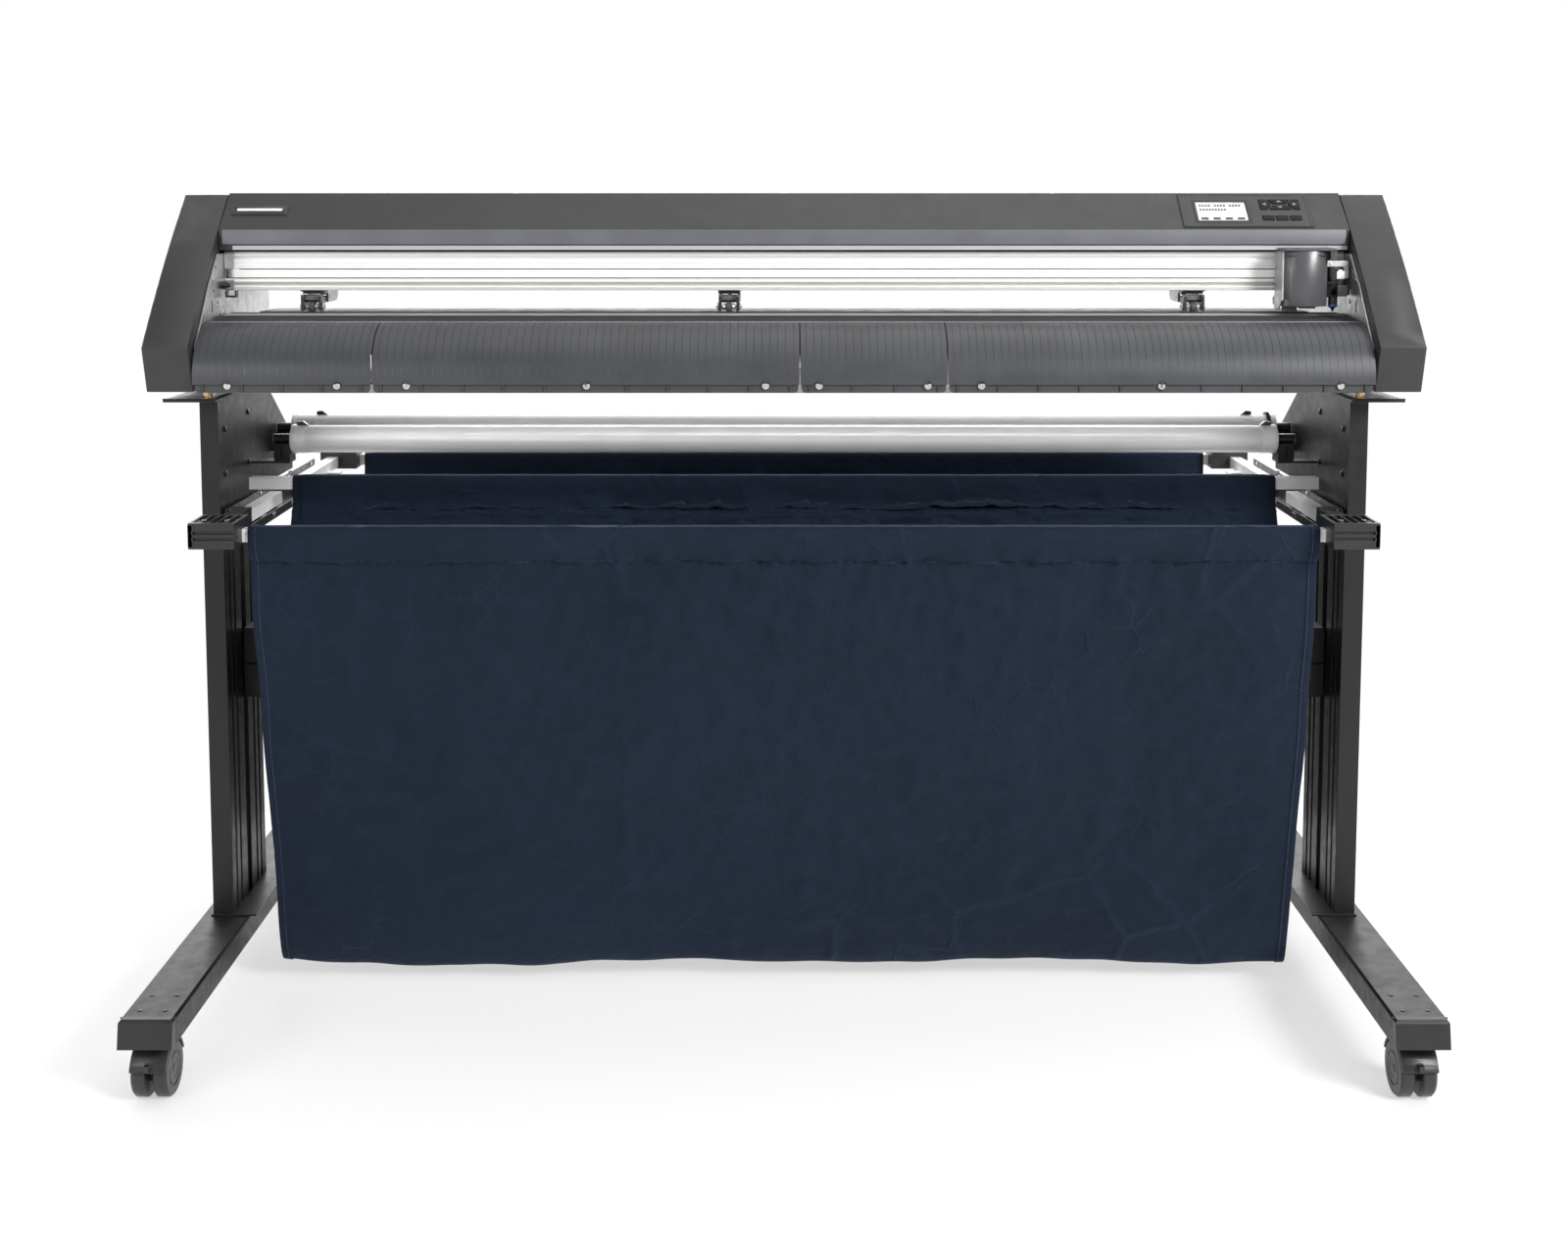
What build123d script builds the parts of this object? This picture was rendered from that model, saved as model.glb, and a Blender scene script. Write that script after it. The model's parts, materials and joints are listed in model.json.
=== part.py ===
from build123d import *
import math
import os

# A floor-standing vinyl cutter on a caster stand, with media rollers and a cloth media basket.
# Millimetres. +Z is up, +X is to the right, and the front faces -Y.
# Every y below is measured from the centre plane of the stand legs. write_node moves the solids,
# so that the origin is on the floor under the middle of the whole machine.
LEG_PLANE_Y = -57.0

# ---- stand -------------------------------------------------------------------------------------
CASTER_X = 747.85
CASTER_Y = 345.0
CASTER_TRAIL = 18.0
WHEEL_RADIUS = 32.5
WHEEL_INNER = 4.5
WHEEL_OUTER = 21.5
AXLE_RADIUS = 4.0
RUNNING_GAP = 0.05

FOOT_IN = 715.7
FOOT_OUT = 780.0
FOOT_BOTTOM = 74.0
FOOT_TOP = 107.0
FOOT_BODY_END = 388.0
FOOT_CAP_END = 405.5
FOOT_WALL = 4.0

LEG_IN = 737.5
LEG_OUT = 765.0
LEG_FRONT = -78.5
LEG_BACK = 80.0
LEG_SHOULDER = 640.0
LEG_TOP = 802.0

PLATE_IN = 741.0
PLATE_THICK = 2.8
PLATE_TOP = 806.0

ROLL_Z = 729.0
ROLL_RADIUS = 19.0
ROLL_STUB_RADIUS = 7.0
FRONT_ROLL = {"y": 79.0, "half": 683.0, "cradle": (686.0, 708.0), "stub_end": 712.0}
REAR_ROLL = {"y": 202.0, "half": 715.0, "cradle": (718.0, 738.0), "stub_end": 739.0}

# ---- basket ------------------------------------------------------------------------------------
TUBE_IN = 717.0
TUBE_OUT = 734.5
TUBE_LOW = 629.7
TUBE_HIGH = 646.2
BAR_SIZE = 16.5
FRONT_BAR_Y = -165.0
MIDDLE_BAR_Y = 54.0
MIDDLE_BAR_LOW = 661.6
REAR_BAR_Y = 497.0
CLOTH_HALF = 680.0
CLOTH_THICK = 2.5
CLOTH_GAP = 0.8

# ---- cutter ------------------------------------------------------------------------------------
BED_HALF = 740.0
SIDE_FRAME = (740.5, 743.0)
COVER_IN = 743.3
COVER_OUT = 801.0
COVER_WALL = 3.0
RIDGE_Y = 5.0
RIDGE_Z = 1071.0
SLOPE_FRONT_Y = -50.0
SLOPE_FRONT_Z = 1024.0
RAIL_FRONT = -35.0
RAIL_BACK = 5.0
RAIL_LOW = 943.0
RAIL_HIGH = 994.0
GRIT_Y = -30.0
GRIT_Z = 903.4
GRIT_RADIUS = 10.0
ARC_Y = -116.0
ARC_Z = 835.5
ARC_RADIUS = 71.0
APRON_SPLITS = (-740.0, -516.0, 20.0, 205.0, 740.0)
APRON_SCREW_X = (-696, -559, -472, -247, -23, 44, 180, 247, 472, 696)
APRON_SCREW_Z = 831.5
PINCH_X = (-626.0, -73.0, 543.0)
PINCH_RADIUS = 7.0
PINCH_Z = GRIT_Z + GRIT_RADIUS + 0.3 + PINCH_RADIUS
PINCH_PIVOT_Y = 10.0
PINCH_PIVOT_Z = 931.0
PINCH_PIN_RADIUS = 2.0
PINCH_AXLE_RADIUS = 1.5
SET_SHAFT_Y = 30.0
SET_SHAFT_Z = 955.0
BELT_PULLEY_X = 726.0
BELT_Y = -29.3
TOOL_X = 717.0
TOOL_Y = -69.0
CARRIAGE_LEFT = 650.0
CARRIAGE_RIGHT = 706.0

# The sloping front of the top cover carries the control panel: local x is +X, local y points up
# the slope, and local z stands out of the cover. Its origin is on the ridge.
SLOPE = Plane(
    origin=(0, RIDGE_Y, RIDGE_Z),
    x_dir=(1, 0, 0),
    z_dir=(0, SLOPE_FRONT_Z - RIDGE_Z, RIDGE_Y - SLOPE_FRONT_Y),
)


# ---- helpers -----------------------------------------------------------------------------------
def span_box(x0, x1, y0, y1, z0, z1):
    """A box between two corners."""
    centre = Pos((x0 + x1) / 2, (y0 + y1) / 2, (z0 + z1) / 2)
    return centre * Box(abs(x1 - x0), abs(y1 - y0), abs(z1 - z0))


def rod_x(x0, x1, y, z, radius):
    """A round rod along X."""
    return Pos((x0 + x1) / 2, y, z) * Rot(0, 90, 0) * Cylinder(radius, abs(x1 - x0))


def rod_y(x, y0, y1, z, radius):
    """A round rod along Y."""
    return Pos(x, (y0 + y1) / 2, z) * Rot(90, 0, 0) * Cylinder(radius, abs(y1 - y0))


def rod_z(x, y, z0, z1, radius):
    """A round rod along Z."""
    return Pos(x, y, (z0 + z1) / 2) * Cylinder(radius, abs(z1 - z0))


def prism_x(points, x0, x1):
    """A closed (y, z) outline drawn out along X."""
    face = Plane.YZ.offset(x0) * make_face(Polyline(*points, close=True))
    return extrude(face, amount=x1 - x0, dir=(1, 0, 0))


def slope_box(x0, x1, down0, down1, low, high):
    """A box on the sloping panel: down0 and down1 are distances down the slope from the ridge."""
    centre = Pos((x0 + x1) / 2, -(down0 + down1) / 2, (low + high) / 2)
    return SLOPE * centre * Box(x1 - x0, down1 - down0, high - low)


def slope_prism(points, low, high):
    """A closed (x, down) outline on the sloping panel, between two heights above it."""
    face = make_face(Polyline(*[(x, -down) for x, down in points], close=True))
    return SLOPE * Pos(0, 0, low) * extrude(face, amount=high - low, dir=(0, 0, 1))


def sideways(points, distance):
    """An open (y, z) path moved to its left by a distance, with mitred corners."""
    moved = []
    for i, (y, z) in enumerate(points):
        before = points[max(i - 1, 0)]
        after = points[min(i + 1, len(points) - 1)]
        directions = []
        for a, b in ((before, (y, z)), ((y, z), after)):
            length = math.hypot(b[0] - a[0], b[1] - a[1])
            if length:
                directions.append(((b[0] - a[0]) / length, (b[1] - a[1]) / length))
        mean_y = sum(d[0] for d in directions) / len(directions)
        mean_z = sum(d[1] for d in directions) / len(directions)
        square = mean_y ** 2 + mean_z ** 2
        moved.append((y - mean_z * distance / square, z + mean_y * distance / square))
    return moved


def strip_x(points, thickness, x0, x1):
    """A bent sheet that follows an open (y, z) path, with its thickness on the path's left."""
    return prism_x(points + sideways(points, thickness)[::-1], x0, x1)


def both_sides(solids):
    """The given solids and their mirror images across the machine's middle plane."""
    return solids + [mirror(solid, about=Plane.YZ) for solid in solids]


def write_node(name, solids):
    """Write one node's solids as parts/NAME.step, in the machine's own frame."""
    moved = [Pos(0, LEG_PLANE_Y, 0) * solid for item in solids for solid in item.solids()]
    shape = moved[0] if len(moved) == 1 else Compound(moved)
    export_step(shape, os.path.join("parts", name + ".step"))


# ---- casters -----------------------------------------------------------------------------------
def caster_yoke(x, side):
    """The swivelling hood, web and stem of a twin-wheel caster. side is -1 at the front, 1 behind."""
    wheel_y = side * (CASTER_Y + CASTER_TRAIL)
    swivel_y = side * CASTER_Y
    hood_radius = WHEEL_RADIUS + 3.8
    hood = rod_x(x - WHEEL_OUTER, x + WHEEL_OUTER, wheel_y, WHEEL_RADIUS, hood_radius)
    hood -= rod_x(x - 30, x + 30, wheel_y, WHEEL_RADIUS, WHEEL_RADIUS + 0.8)
    hood -= span_box(x - 30, x + 30, wheel_y - 50, wheel_y + 50, -20, WHEEL_RADIUS + 10)
    web_half = WHEEL_INNER - 0.5
    web = rod_x(x - web_half, x + web_half, wheel_y, WHEEL_RADIUS, 15)
    web += span_box(x - web_half, x + web_half, wheel_y - 12, wheel_y + 12, WHEEL_RADIUS, WHEEL_RADIUS + 34)
    web += span_box(x - 3, x + 3, wheel_y + side * 28, wheel_y + side * 39, 44, 52)
    web += span_box(x - 2.5, x + 2.5, wheel_y + side * 20, wheel_y + side * 33, 44, 48)
    web += span_box(x - 2.5, x + 2.5, wheel_y + side * 10, wheel_y + side * 24, 36, 48)
    stem = rod_z(x, swivel_y, 62, FOOT_BOTTOM - 0.5, 11) - rod_x(x - 30, x + 30, wheel_y, WHEEL_RADIUS, 33.3)
    stem += rod_z(x, swivel_y, FOOT_BOTTOM - 1, 96, 5)
    yoke = hood + web + stem
    return yoke - rod_x(x - 30, x + 30, wheel_y, WHEEL_RADIUS, AXLE_RADIUS + RUNNING_GAP)


def caster_wheels(x, side):
    """Both wheels of a caster on their axle."""
    wheel_y = side * (CASTER_Y + CASTER_TRAIL)
    rim = WHEEL_RADIUS - 2.5
    section = [
        (0, WHEEL_INNER), (rim, WHEEL_INNER), (WHEEL_RADIUS, WHEEL_INNER + 2),
        (WHEEL_RADIUS, WHEEL_OUTER - 3), (rim, WHEEL_OUTER), (21, WHEEL_OUTER),
        (19, WHEEL_OUTER - 1.5), (0, WHEEL_OUTER - 1.5),
    ]
    wheel = revolve(Plane.XZ * make_face(Polyline(*section, close=True)), Axis.Z)
    right = Pos(x, wheel_y, WHEEL_RADIUS) * Rot(0, 90, 0) * wheel
    left = Pos(x, wheel_y, WHEEL_RADIUS) * Rot(0, -90, 0) * wheel
    axle = rod_x(x - WHEEL_INNER - 1, x + WHEEL_INNER + 1, wheel_y, WHEEL_RADIUS, AXLE_RADIUS)
    return right + left + axle


def build_casters():
    """Four casters: front left, front right, rear left, rear right."""
    number = 1
    for side in (-1, 1):
        for x in (-CASTER_X, CASTER_X):
            write_node(f"caster_yoke_{number}", [caster_yoke(x, side)])
            write_node(f"caster_wheels_{number}", [caster_wheels(x, side)])
            number += 1


# ---- stand -------------------------------------------------------------------------------------
def build_feet():
    """The two hollow feet, and the slanted plastic caps in their ends."""
    chamfer_size = 3.0
    outline = [
        (FOOT_IN, FOOT_BOTTOM), (FOOT_OUT, FOOT_BOTTOM), (FOOT_OUT, FOOT_TOP - chamfer_size),
        (FOOT_OUT - chamfer_size, FOOT_TOP), (FOOT_IN + chamfer_size, FOOT_TOP),
        (FOOT_IN, FOOT_TOP - chamfer_size),
    ]
    face = Plane.XZ.offset(FOOT_BODY_END) * make_face(Polyline(*outline, close=True))
    foot = extrude(face, amount=2 * FOOT_BODY_END, dir=(0, 1, 0))
    inside = (FOOT_IN + FOOT_WALL, FOOT_OUT - FOOT_WALL)
    foot -= span_box(*inside, -500, 500, FOOT_BOTTOM + FOOT_WALL, FOOT_TOP - FOOT_WALL)
    for side in (-1, 1):
        foot += rod_z(CASTER_X, side * CASTER_Y, FOOT_BOTTOM + 2, 98, 12)
        foot -= rod_z(CASTER_X, side * CASTER_Y, FOOT_BOTTOM - 5, 96.5, 5 + RUNNING_GAP)
    write_node("feet", both_sides([foot]))

    caps = []
    for side in (-1, 1):
        profile = [
            (FOOT_BODY_END, FOOT_BOTTOM), (FOOT_CAP_END, FOOT_BOTTOM), (FOOT_CAP_END - 6, FOOT_TOP - 3.5),
            (FOOT_CAP_END - 9.5, FOOT_TOP), (FOOT_BODY_END, FOOT_TOP),
        ]
        cap = prism_x([(side * y, z) for y, z in profile], FOOT_IN, FOOT_OUT)
        top_edges = cap.edges().filter_by(Axis.Y).group_by(Axis.Z)[-1]
        cap = chamfer(top_edges, chamfer_size)
        plug_end = side * (FOOT_BODY_END - 12)
        cap += span_box(inside[0] + 0.2, inside[1] - 0.2, plug_end, side * (FOOT_BODY_END + 1),
                        FOOT_BOTTOM + FOOT_WALL + 0.2, FOOT_TOP - FOOT_WALL - 0.2)
        caps.append(cap)
    write_node("foot_caps", both_sides(caps))


def build_legs():
    """Two extruded legs with grooves down their inner faces and a narrower tongue at the top."""
    wall = 3.0
    leg = span_box(LEG_IN, LEG_OUT, LEG_FRONT, LEG_BACK, FOOT_TOP, LEG_SHOULDER)
    leg -= span_box(LEG_IN + 6, LEG_OUT - wall, LEG_FRONT + wall, LEG_BACK - wall, FOOT_TOP + wall, LEG_SHOULDER - 4)
    for groove_y, half_width, depth in ((-58, 3, 3.5), (-38, 3, 3.5), (1, 9, 4.5), (38, 3, 3.5), (58, 3, 3.5)):
        leg -= span_box(LEG_IN - 1, LEG_IN + depth, groove_y - half_width, groove_y + half_width,
                        FOOT_TOP - 1, LEG_SHOULDER + 1)
    tongue = span_box(PLATE_IN + PLATE_THICK + 0.5, LEG_OUT - wall, -72, 74, LEG_SHOULDER - 1, LEG_TOP)
    tongue -= span_box(PLATE_IN + PLATE_THICK + 3.5, LEG_OUT - 2 * wall, -69, 71, LEG_SHOULDER, LEG_TOP - wall)
    write_node("legs", both_sides([leg + tongue]))


def build_cross_beam():
    """The hollow beam between the legs, with a shallow line along its front."""
    beam = span_box(-LEG_IN, LEG_IN, -4, 36, 384, 480)
    beam -= span_box(-LEG_IN - 1, LEG_IN + 1, -1, 33, 387, 477)
    beam -= span_box(-LEG_IN - 1, LEG_IN + 1, -5, -3, 430, 432)
    write_node("cross_beam", [beam])


def roll_cradle(roll):
    """The open plastic bearing that one end of a media roller lies in, and the arm under it."""
    x0, x1 = roll["cradle"]
    y = roll["y"]
    arm = span_box(x0, PLATE_IN, y - 16, y + 16, 697, 700)
    block = span_box(x0, x1, y - 16, y + 16, 700, 724)
    block -= rod_x(x0 - 1, x1 + 1, y, ROLL_Z, ROLL_STUB_RADIUS + 0.3)
    block -= span_box((x0 + x1) / 2 - 2, (x0 + x1) / 2 + 2, y - 20, y - 13, 706, 730)
    return arm, block


def build_stand_plates():
    """The bent steel plates that carry the cutter, with the media roller bearings on their inner sides."""
    web_outline = [
        (LEG_FRONT, LEG_SHOULDER + 0.3), (LEG_BACK + 0.5, LEG_SHOULDER + 0.3), (LEG_BACK + 0.5, 620),
        (97, 620), (97, 657), (285, 657), (285, 715), (272, 717.6), (176, 783), (160, PLATE_TOP - 1),
        (LEG_FRONT, PLATE_TOP - 1),
    ]
    plate = prism_x(web_outline, PLATE_IN, PLATE_IN + PLATE_THICK)
    for y in (LEG_FRONT, LEG_BACK - PLATE_THICK):
        plate += span_box(PLATE_IN, LEG_OUT, y, y + PLATE_THICK, LEG_SHOULDER + 0.3, PLATE_TOP - 1)
    plate += span_box(731, 799, -120, 180, PLATE_TOP - 3, PLATE_TOP)
    cradles = []
    for roll in (FRONT_ROLL, REAR_ROLL):
        arm, block = roll_cradle(roll)
        plate += arm
        cradles.append(block)
    write_node("stand_plates", both_sides([plate] + cradles))

    bolt_y = -111
    bolt = Pos(744, bolt_y, PLATE_TOP + 5) * extrude(RegularPolygon(5.5, 6), amount=5)
    bolt += rod_z(744, bolt_y, PLATE_TOP, PLATE_TOP + 10.5, 3.5)
    washer = rod_z(744, bolt_y, PLATE_TOP, PLATE_TOP + 1.5, 6.5)
    write_node("stand_bolts", both_sides([bolt + washer]))


def build_roll_shafts():
    """The two aluminium media rollers, each with black end flanges and clamped stop collars."""
    for name, roll in (("front_roll_shaft", FRONT_ROLL), ("rear_roll_shaft", REAR_ROLL)):
        half = roll["half"]
        y = roll["y"]
        tube = rod_x(-half + 3, half - 3, y, ROLL_Z, ROLL_RADIUS)
        tube -= rod_x(-half - 3, half + 3, y, ROLL_Z, ROLL_RADIUS - 2.5)
        flange = rod_x(half - 3, half, y, ROLL_Z, ROLL_RADIUS + 1.5)
        flange += rod_x(half - 20, half - 2, y, ROLL_Z, ROLL_RADIUS - 2.5)
        flange += rod_x(half - 1, roll["stub_end"], y, ROLL_Z, ROLL_STUB_RADIUS)
        knob = rod_z(673, y, ROLL_Z + ROLL_RADIUS - 0.6, ROLL_Z + ROLL_RADIUS + 4, 3.5)
        write_node(name, [tube] + both_sides([flange, knob]))


# ---- basket ------------------------------------------------------------------------------------
def build_basket_channels():
    """The black channels that the basket's slide tubes run in, with guide pads and screw bosses."""
    front, back = -72.0, 395.0
    channel = span_box(712, LEG_IN, front, back, 617, 619.5)
    channel += span_box(712, 714, front, back, 617, 629)
    channel += span_box(TUBE_OUT + 1, LEG_IN, front, back, 617, 655)
    for pad_y in (-60, 30, 110, 300, 380):
        channel += span_box(713, LEG_IN - 1, pad_y - 10, pad_y + 10, 619, TUBE_LOW - 0.3)
    for slot_y in (-30, 70, 170, 270, 350):
        channel -= span_box(711, 715, slot_y - 7, slot_y + 7, 621.5, 625.5)
    for spacer_y in (92, 265):
        channel += span_box(LEG_IN - 0.5, PLATE_IN, spacer_y - 5, spacer_y + 5, 642, 655)
    write_node("basket_channels", both_sides([channel]))


def square_bar(half_length, y, low):
    """A hollow square bar along X."""
    wall = 2.0
    bar = span_box(-half_length, half_length, y, y + BAR_SIZE, low, low + BAR_SIZE)
    bar -= span_box(-half_length - 1, half_length + 1, y + wall, y + BAR_SIZE - wall,
                    low + wall, low + BAR_SIZE - wall)
    return bar


def slide_tube(y0, y1):
    """A hollow square tube along Y, in a basket channel."""
    wall = 2.0
    tube = span_box(TUBE_IN, TUBE_OUT, y0, y1, TUBE_LOW, TUBE_HIGH)
    return tube - span_box(TUBE_IN + wall, TUBE_OUT - wall, y0 - 1, y1 + 1, TUBE_LOW + wall, TUBE_HIGH - wall)


def corner_block(y0, y1, bar_y, tube_end):
    """A moulded corner that joins a basket bar to a slide tube: grooved face, pocketed top."""
    low, high = 627.2, 660.3
    block = span_box(688, 745.5, y0, y1, low, high)
    outer_y = y0 if y0 < 0 else y1
    for groove_z in (640, 648):
        block -= span_box(680, 741, outer_y - 4, outer_y + 4, groove_z - 2, groove_z + 2)
    pockets = 5
    for i in range(pockets):
        x = 696 + i * 10.5
        block -= span_box(x - 4, x + 4, y0 + 6, y1 - 6, high - 8, high + 1)
    bar_gap = 0.1
    block -= span_box(680, TUBE_OUT + bar_gap, bar_y - bar_gap, bar_y + BAR_SIZE + bar_gap,
                      TUBE_LOW - bar_gap, TUBE_LOW + BAR_SIZE + bar_gap)
    inner_y = y1 if y0 < 0 else y0
    block -= span_box(TUBE_IN - bar_gap, TUBE_OUT + bar_gap, min(bar_y, inner_y) - 1,
                      max(bar_y, inner_y) + 1, TUBE_LOW - bar_gap, TUBE_HIGH + bar_gap)
    if tube_end is None:
        return block
    sleeve = span_box(713.6, 735.2, inner_y - 2, tube_end, 630.3, 652)
    sleeve -= span_box(TUBE_IN - bar_gap, TUBE_OUT + bar_gap, inner_y - 5, tube_end + 1, 600, TUBE_HIGH + bar_gap)
    slats = 9
    for i in range(slats):
        slat_y = inner_y + 8 + i * 10.5
        sleeve -= span_box(710, 740, slat_y - 2, slat_y + 2, 649, 653)
    return block + sleeve


def build_basket_frames():
    """The front and rear sliding frames, the middle bar between the legs and the corner blocks."""
    front = square_bar(TUBE_IN, FRONT_BAR_Y, TUBE_LOW)
    write_node("front_basket_frame", [front] + both_sides([slide_tube(FRONT_BAR_Y, 134)]))
    write_node("front_corner_blocks", both_sides([corner_block(-201, -136, FRONT_BAR_Y, -31)]))

    rear = square_bar(TUBE_IN, REAR_BAR_Y, TUBE_LOW)
    rear_tube = slide_tube(287, REAR_BAR_Y + BAR_SIZE) + span_box(697, TUBE_IN + 0.5, 396, 416, 629.8, 632.3)
    write_node("rear_basket_frame", [rear] + both_sides([rear_tube]))
    write_node("rear_corner_blocks", both_sides([corner_block(471, 519.5, REAR_BAR_Y, None)]))

    middle = square_bar(PLATE_IN, MIDDLE_BAR_Y, MIDDLE_BAR_LOW)
    write_node("middle_basket_bar", [middle])


def sewn_sleeve(y, low):
    """The closed sleeve of cloth round a square bar."""
    x0, x1 = -CLOTH_HALF, CLOTH_HALF
    inner = CLOTH_GAP
    outer = CLOTH_GAP + CLOTH_THICK
    sleeve = span_box(x0, x1, y - outer, y + BAR_SIZE + outer, low - outer, low + BAR_SIZE + outer)
    return sleeve - span_box(x0 - 1, x1 + 1, y - inner, y + BAR_SIZE + inner, low - inner, low + BAR_SIZE + inner)


def build_basket_cloth():
    """The cloth: a deep front pocket before the cross beam, and a wider rear pocket behind it."""
    outer = CLOTH_GAP + CLOTH_THICK
    front_panel = [
        (FRONT_BAR_Y - outer, 632), (FRONT_BAR_Y - 1.5, 622), (-153, 600), (-149, 517), (-131, 431), (-120, 346),
        (-96, 248), (-78, 157), (-69, 96), (-56, 44), (-46, 30), (-36, 44), (-30, 200), (-20, 384),
        (-13, 480), (10, 560), (MIDDLE_BAR_Y - CLOTH_GAP - 1, 668),
    ]
    rear_panel = [
        (MIDDLE_BAR_Y + BAR_SIZE - 2, MIDDLE_BAR_LOW - CLOTH_GAP - 1), (64, 560), (58, 440), (84, 260), (150, 160),
        (225, 140), (300, 175), (400, 380), (470, 560), (REAR_BAR_Y + 4, TUBE_LOW - CLOTH_GAP - 1),
    ]
    cloth = strip_x(front_panel, CLOTH_THICK, -CLOTH_HALF, CLOTH_HALF)
    cloth += strip_x(rear_panel, CLOTH_THICK, -CLOTH_HALF, CLOTH_HALF)
    cloth += sewn_sleeve(FRONT_BAR_Y, TUBE_LOW)
    cloth += sewn_sleeve(MIDDLE_BAR_Y, MIDDLE_BAR_LOW)
    cloth += sewn_sleeve(REAR_BAR_Y, TUBE_LOW)
    write_node("basket_cloth", [cloth])


# ---- cutter body -------------------------------------------------------------------------------
def build_side_frames():
    """The upright steel plates that everything between the side covers is fixed to."""
    outline = [
        (-100, PLATE_TOP), (-100, 819), (-150, 830), (-165, 878), (-105, 950),
        (-60, 992), (100, 992), (165, 950), (176, 940), (176, 883), (146, 824), (100, 824), (100, PLATE_TOP),
    ]
    frame = prism_x(outline, *SIDE_FRAME)
    frame -= rod_x(700, 800, GRIT_Y, GRIT_Z, 6 + RUNNING_GAP)
    frame -= rod_x(700, 800, SET_SHAFT_Y, SET_SHAFT_Z, 4 + RUNNING_GAP)
    for y, z in ((-120, 850), (-120, 900), (70, 830), (70, 970)):
        frame -= rod_x(700, 800, y, z, 3)
    write_node("side_frames", both_sides([frame]))


def build_base_frame():
    """The folded steel tray that ties the side frames together under the bed."""
    tray = span_box(-BED_HALF, BED_HALF, -90, 100, 812, 814.5)
    for y in (-90, 97.5):
        tray += span_box(-BED_HALF, BED_HALF, y, y + 2.5, 812, 845)
    ribs = 7
    for i in range(ribs):
        x = -690 + i * 230
        tray += span_box(x - 1.5, x + 1.5, -88, 98, 814, 840)
    write_node("base_frame", [tray])


def build_platen():
    """The flat bed in front of the grit roller, on posts from the tray."""
    top_front = (ARC_Y + 0.5, ARC_Z + ARC_RADIUS)
    outline = [
        top_front, (-42, 912.9), (-42, 896), (-45, 896), (-45, 907.6), (top_front[0], top_front[1] - 5),
    ]
    platen = prism_x(outline, -BED_HALF, BED_HALF)
    posts = 7
    for i in range(posts):
        x = -720 + i * 240
        platen += span_box(x - 4, x + 4, -87, -62, 845, 906)
    write_node("platen", [platen])

    guide_path = [(-18, 913.6), (64, 912.6), (112, 885), (138, 826)]
    guide = strip_x(guide_path, -2.5, -700, 700)
    for x in (-600, -200, 200, 600):
        guide += prism_x([(62, 910.5), (104, 888), (108, 845), (96, 845)], x - 2, x + 2)
    write_node("rear_guide", [guide])


def apron_panel(x0, x1):
    """One curved front panel: a quarter round with a ribbed skirt under its lower edge."""
    thick = 3.0
    split_gap = 0.75
    x0 += split_gap
    x1 -= split_gap
    quarter = rod_x(x0, x1, ARC_Y, ARC_Z, ARC_RADIUS) - rod_x(x0 - 1, x1 + 1, ARC_Y, ARC_Z, ARC_RADIUS - thick)
    quarter &= span_box(x0, x1, ARC_Y - 100, ARC_Y, ARC_Z, ARC_Z + 100)
    front = ARC_Y - ARC_RADIUS
    panel = quarter + span_box(x0, x1, front, front + thick, 832.5, ARC_Z + 0.5)
    skirt_y = front + thick
    panel += span_box(x0, x1, skirt_y - 0.5, skirt_y + 9, 832.5, 835)
    skirt = span_box(x0 + 2, x1 - 2, skirt_y + 1, skirt_y + 3, 822.5, 834)
    skirt = fillet(skirt.edges().filter_by(Axis.Y).group_by(Axis.Z)[0], 4)
    panel += skirt
    rib_pitch = 45.0
    ribs = int((x1 - x0) // rib_pitch)
    for i in range(ribs):
        x = (x0 + x1) / 2 + (i - (ribs - 1) / 2) * rib_pitch
        panel += span_box(x - 0.8, x + 0.8, skirt_y - 0.8, skirt_y + 2, 824.5, 834)
    for x in APRON_SCREW_X:
        panel -= rod_y(x, skirt_y - 4, skirt_y + 1, APRON_SCREW_Z, 5.2)
    return panel


def build_apron():
    """The four apron panels and the screws along their skirts."""
    spans = list(zip(APRON_SPLITS[:-1], APRON_SPLITS[1:]))
    write_node("apron_panels", [apron_panel(x0, x1) for x0, x1 in spans])
    screws = []
    face_y = ARC_Y - ARC_RADIUS + 4
    for x in APRON_SCREW_X:
        head = rod_y(x, face_y - 3.2, face_y, APRON_SCREW_Z, 4.4)
        for x_half, z_half in ((0.6, 3.0), (3.0, 0.6)):
            head -= span_box(x - x_half, x + x_half, face_y - 4, face_y - 2.2,
                             APRON_SCREW_Z - z_half, APRON_SCREW_Z + z_half)
        screws.append(head)
    write_node("apron_screws", screws)


def side_cover():
    """The hollow right-hand end cover, open towards the machine."""
    low = 822.5
    back = Polyline((0, 1068.5), (108, 1068.5), (180, 960), (180, 880), (150, low), (-174, low), (-190, 879.7))
    slope = ThreePointArc((-190, 879.7), (-113.5, 962.4), (0, 1068.5))
    face = make_face(back.edges() + slope.edges())
    cover = extrude(Plane.YZ.offset(COVER_IN) * face, amount=COVER_OUT - COVER_IN, dir=(1, 0, 0))
    outer_face = cover.faces().sort_by(Axis.X)[-1]
    cover = fillet(outer_face.edges(), 2)
    inner_face = offset(face, -COVER_WALL, kind=Kind.INTERSECTION)
    cover -= extrude(Plane.YZ.offset(COVER_IN - 1) * inner_face, amount=COVER_OUT - COVER_IN - 2, dir=(1, 0, 0))
    return cover


def build_side_covers():
    """Both end covers. The right one has openings for the power inlet and the switch."""
    right = side_cover()
    write_node("left_side_cover", [mirror(right, about=Plane.YZ)])
    right -= span_box(757.5, 786.5, 170, 190, 899.5, 921.5)
    right -= span_box(761.5, 782.5, 170, 190, 928.5, 950)
    write_node("right_side_cover", [right])


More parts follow.
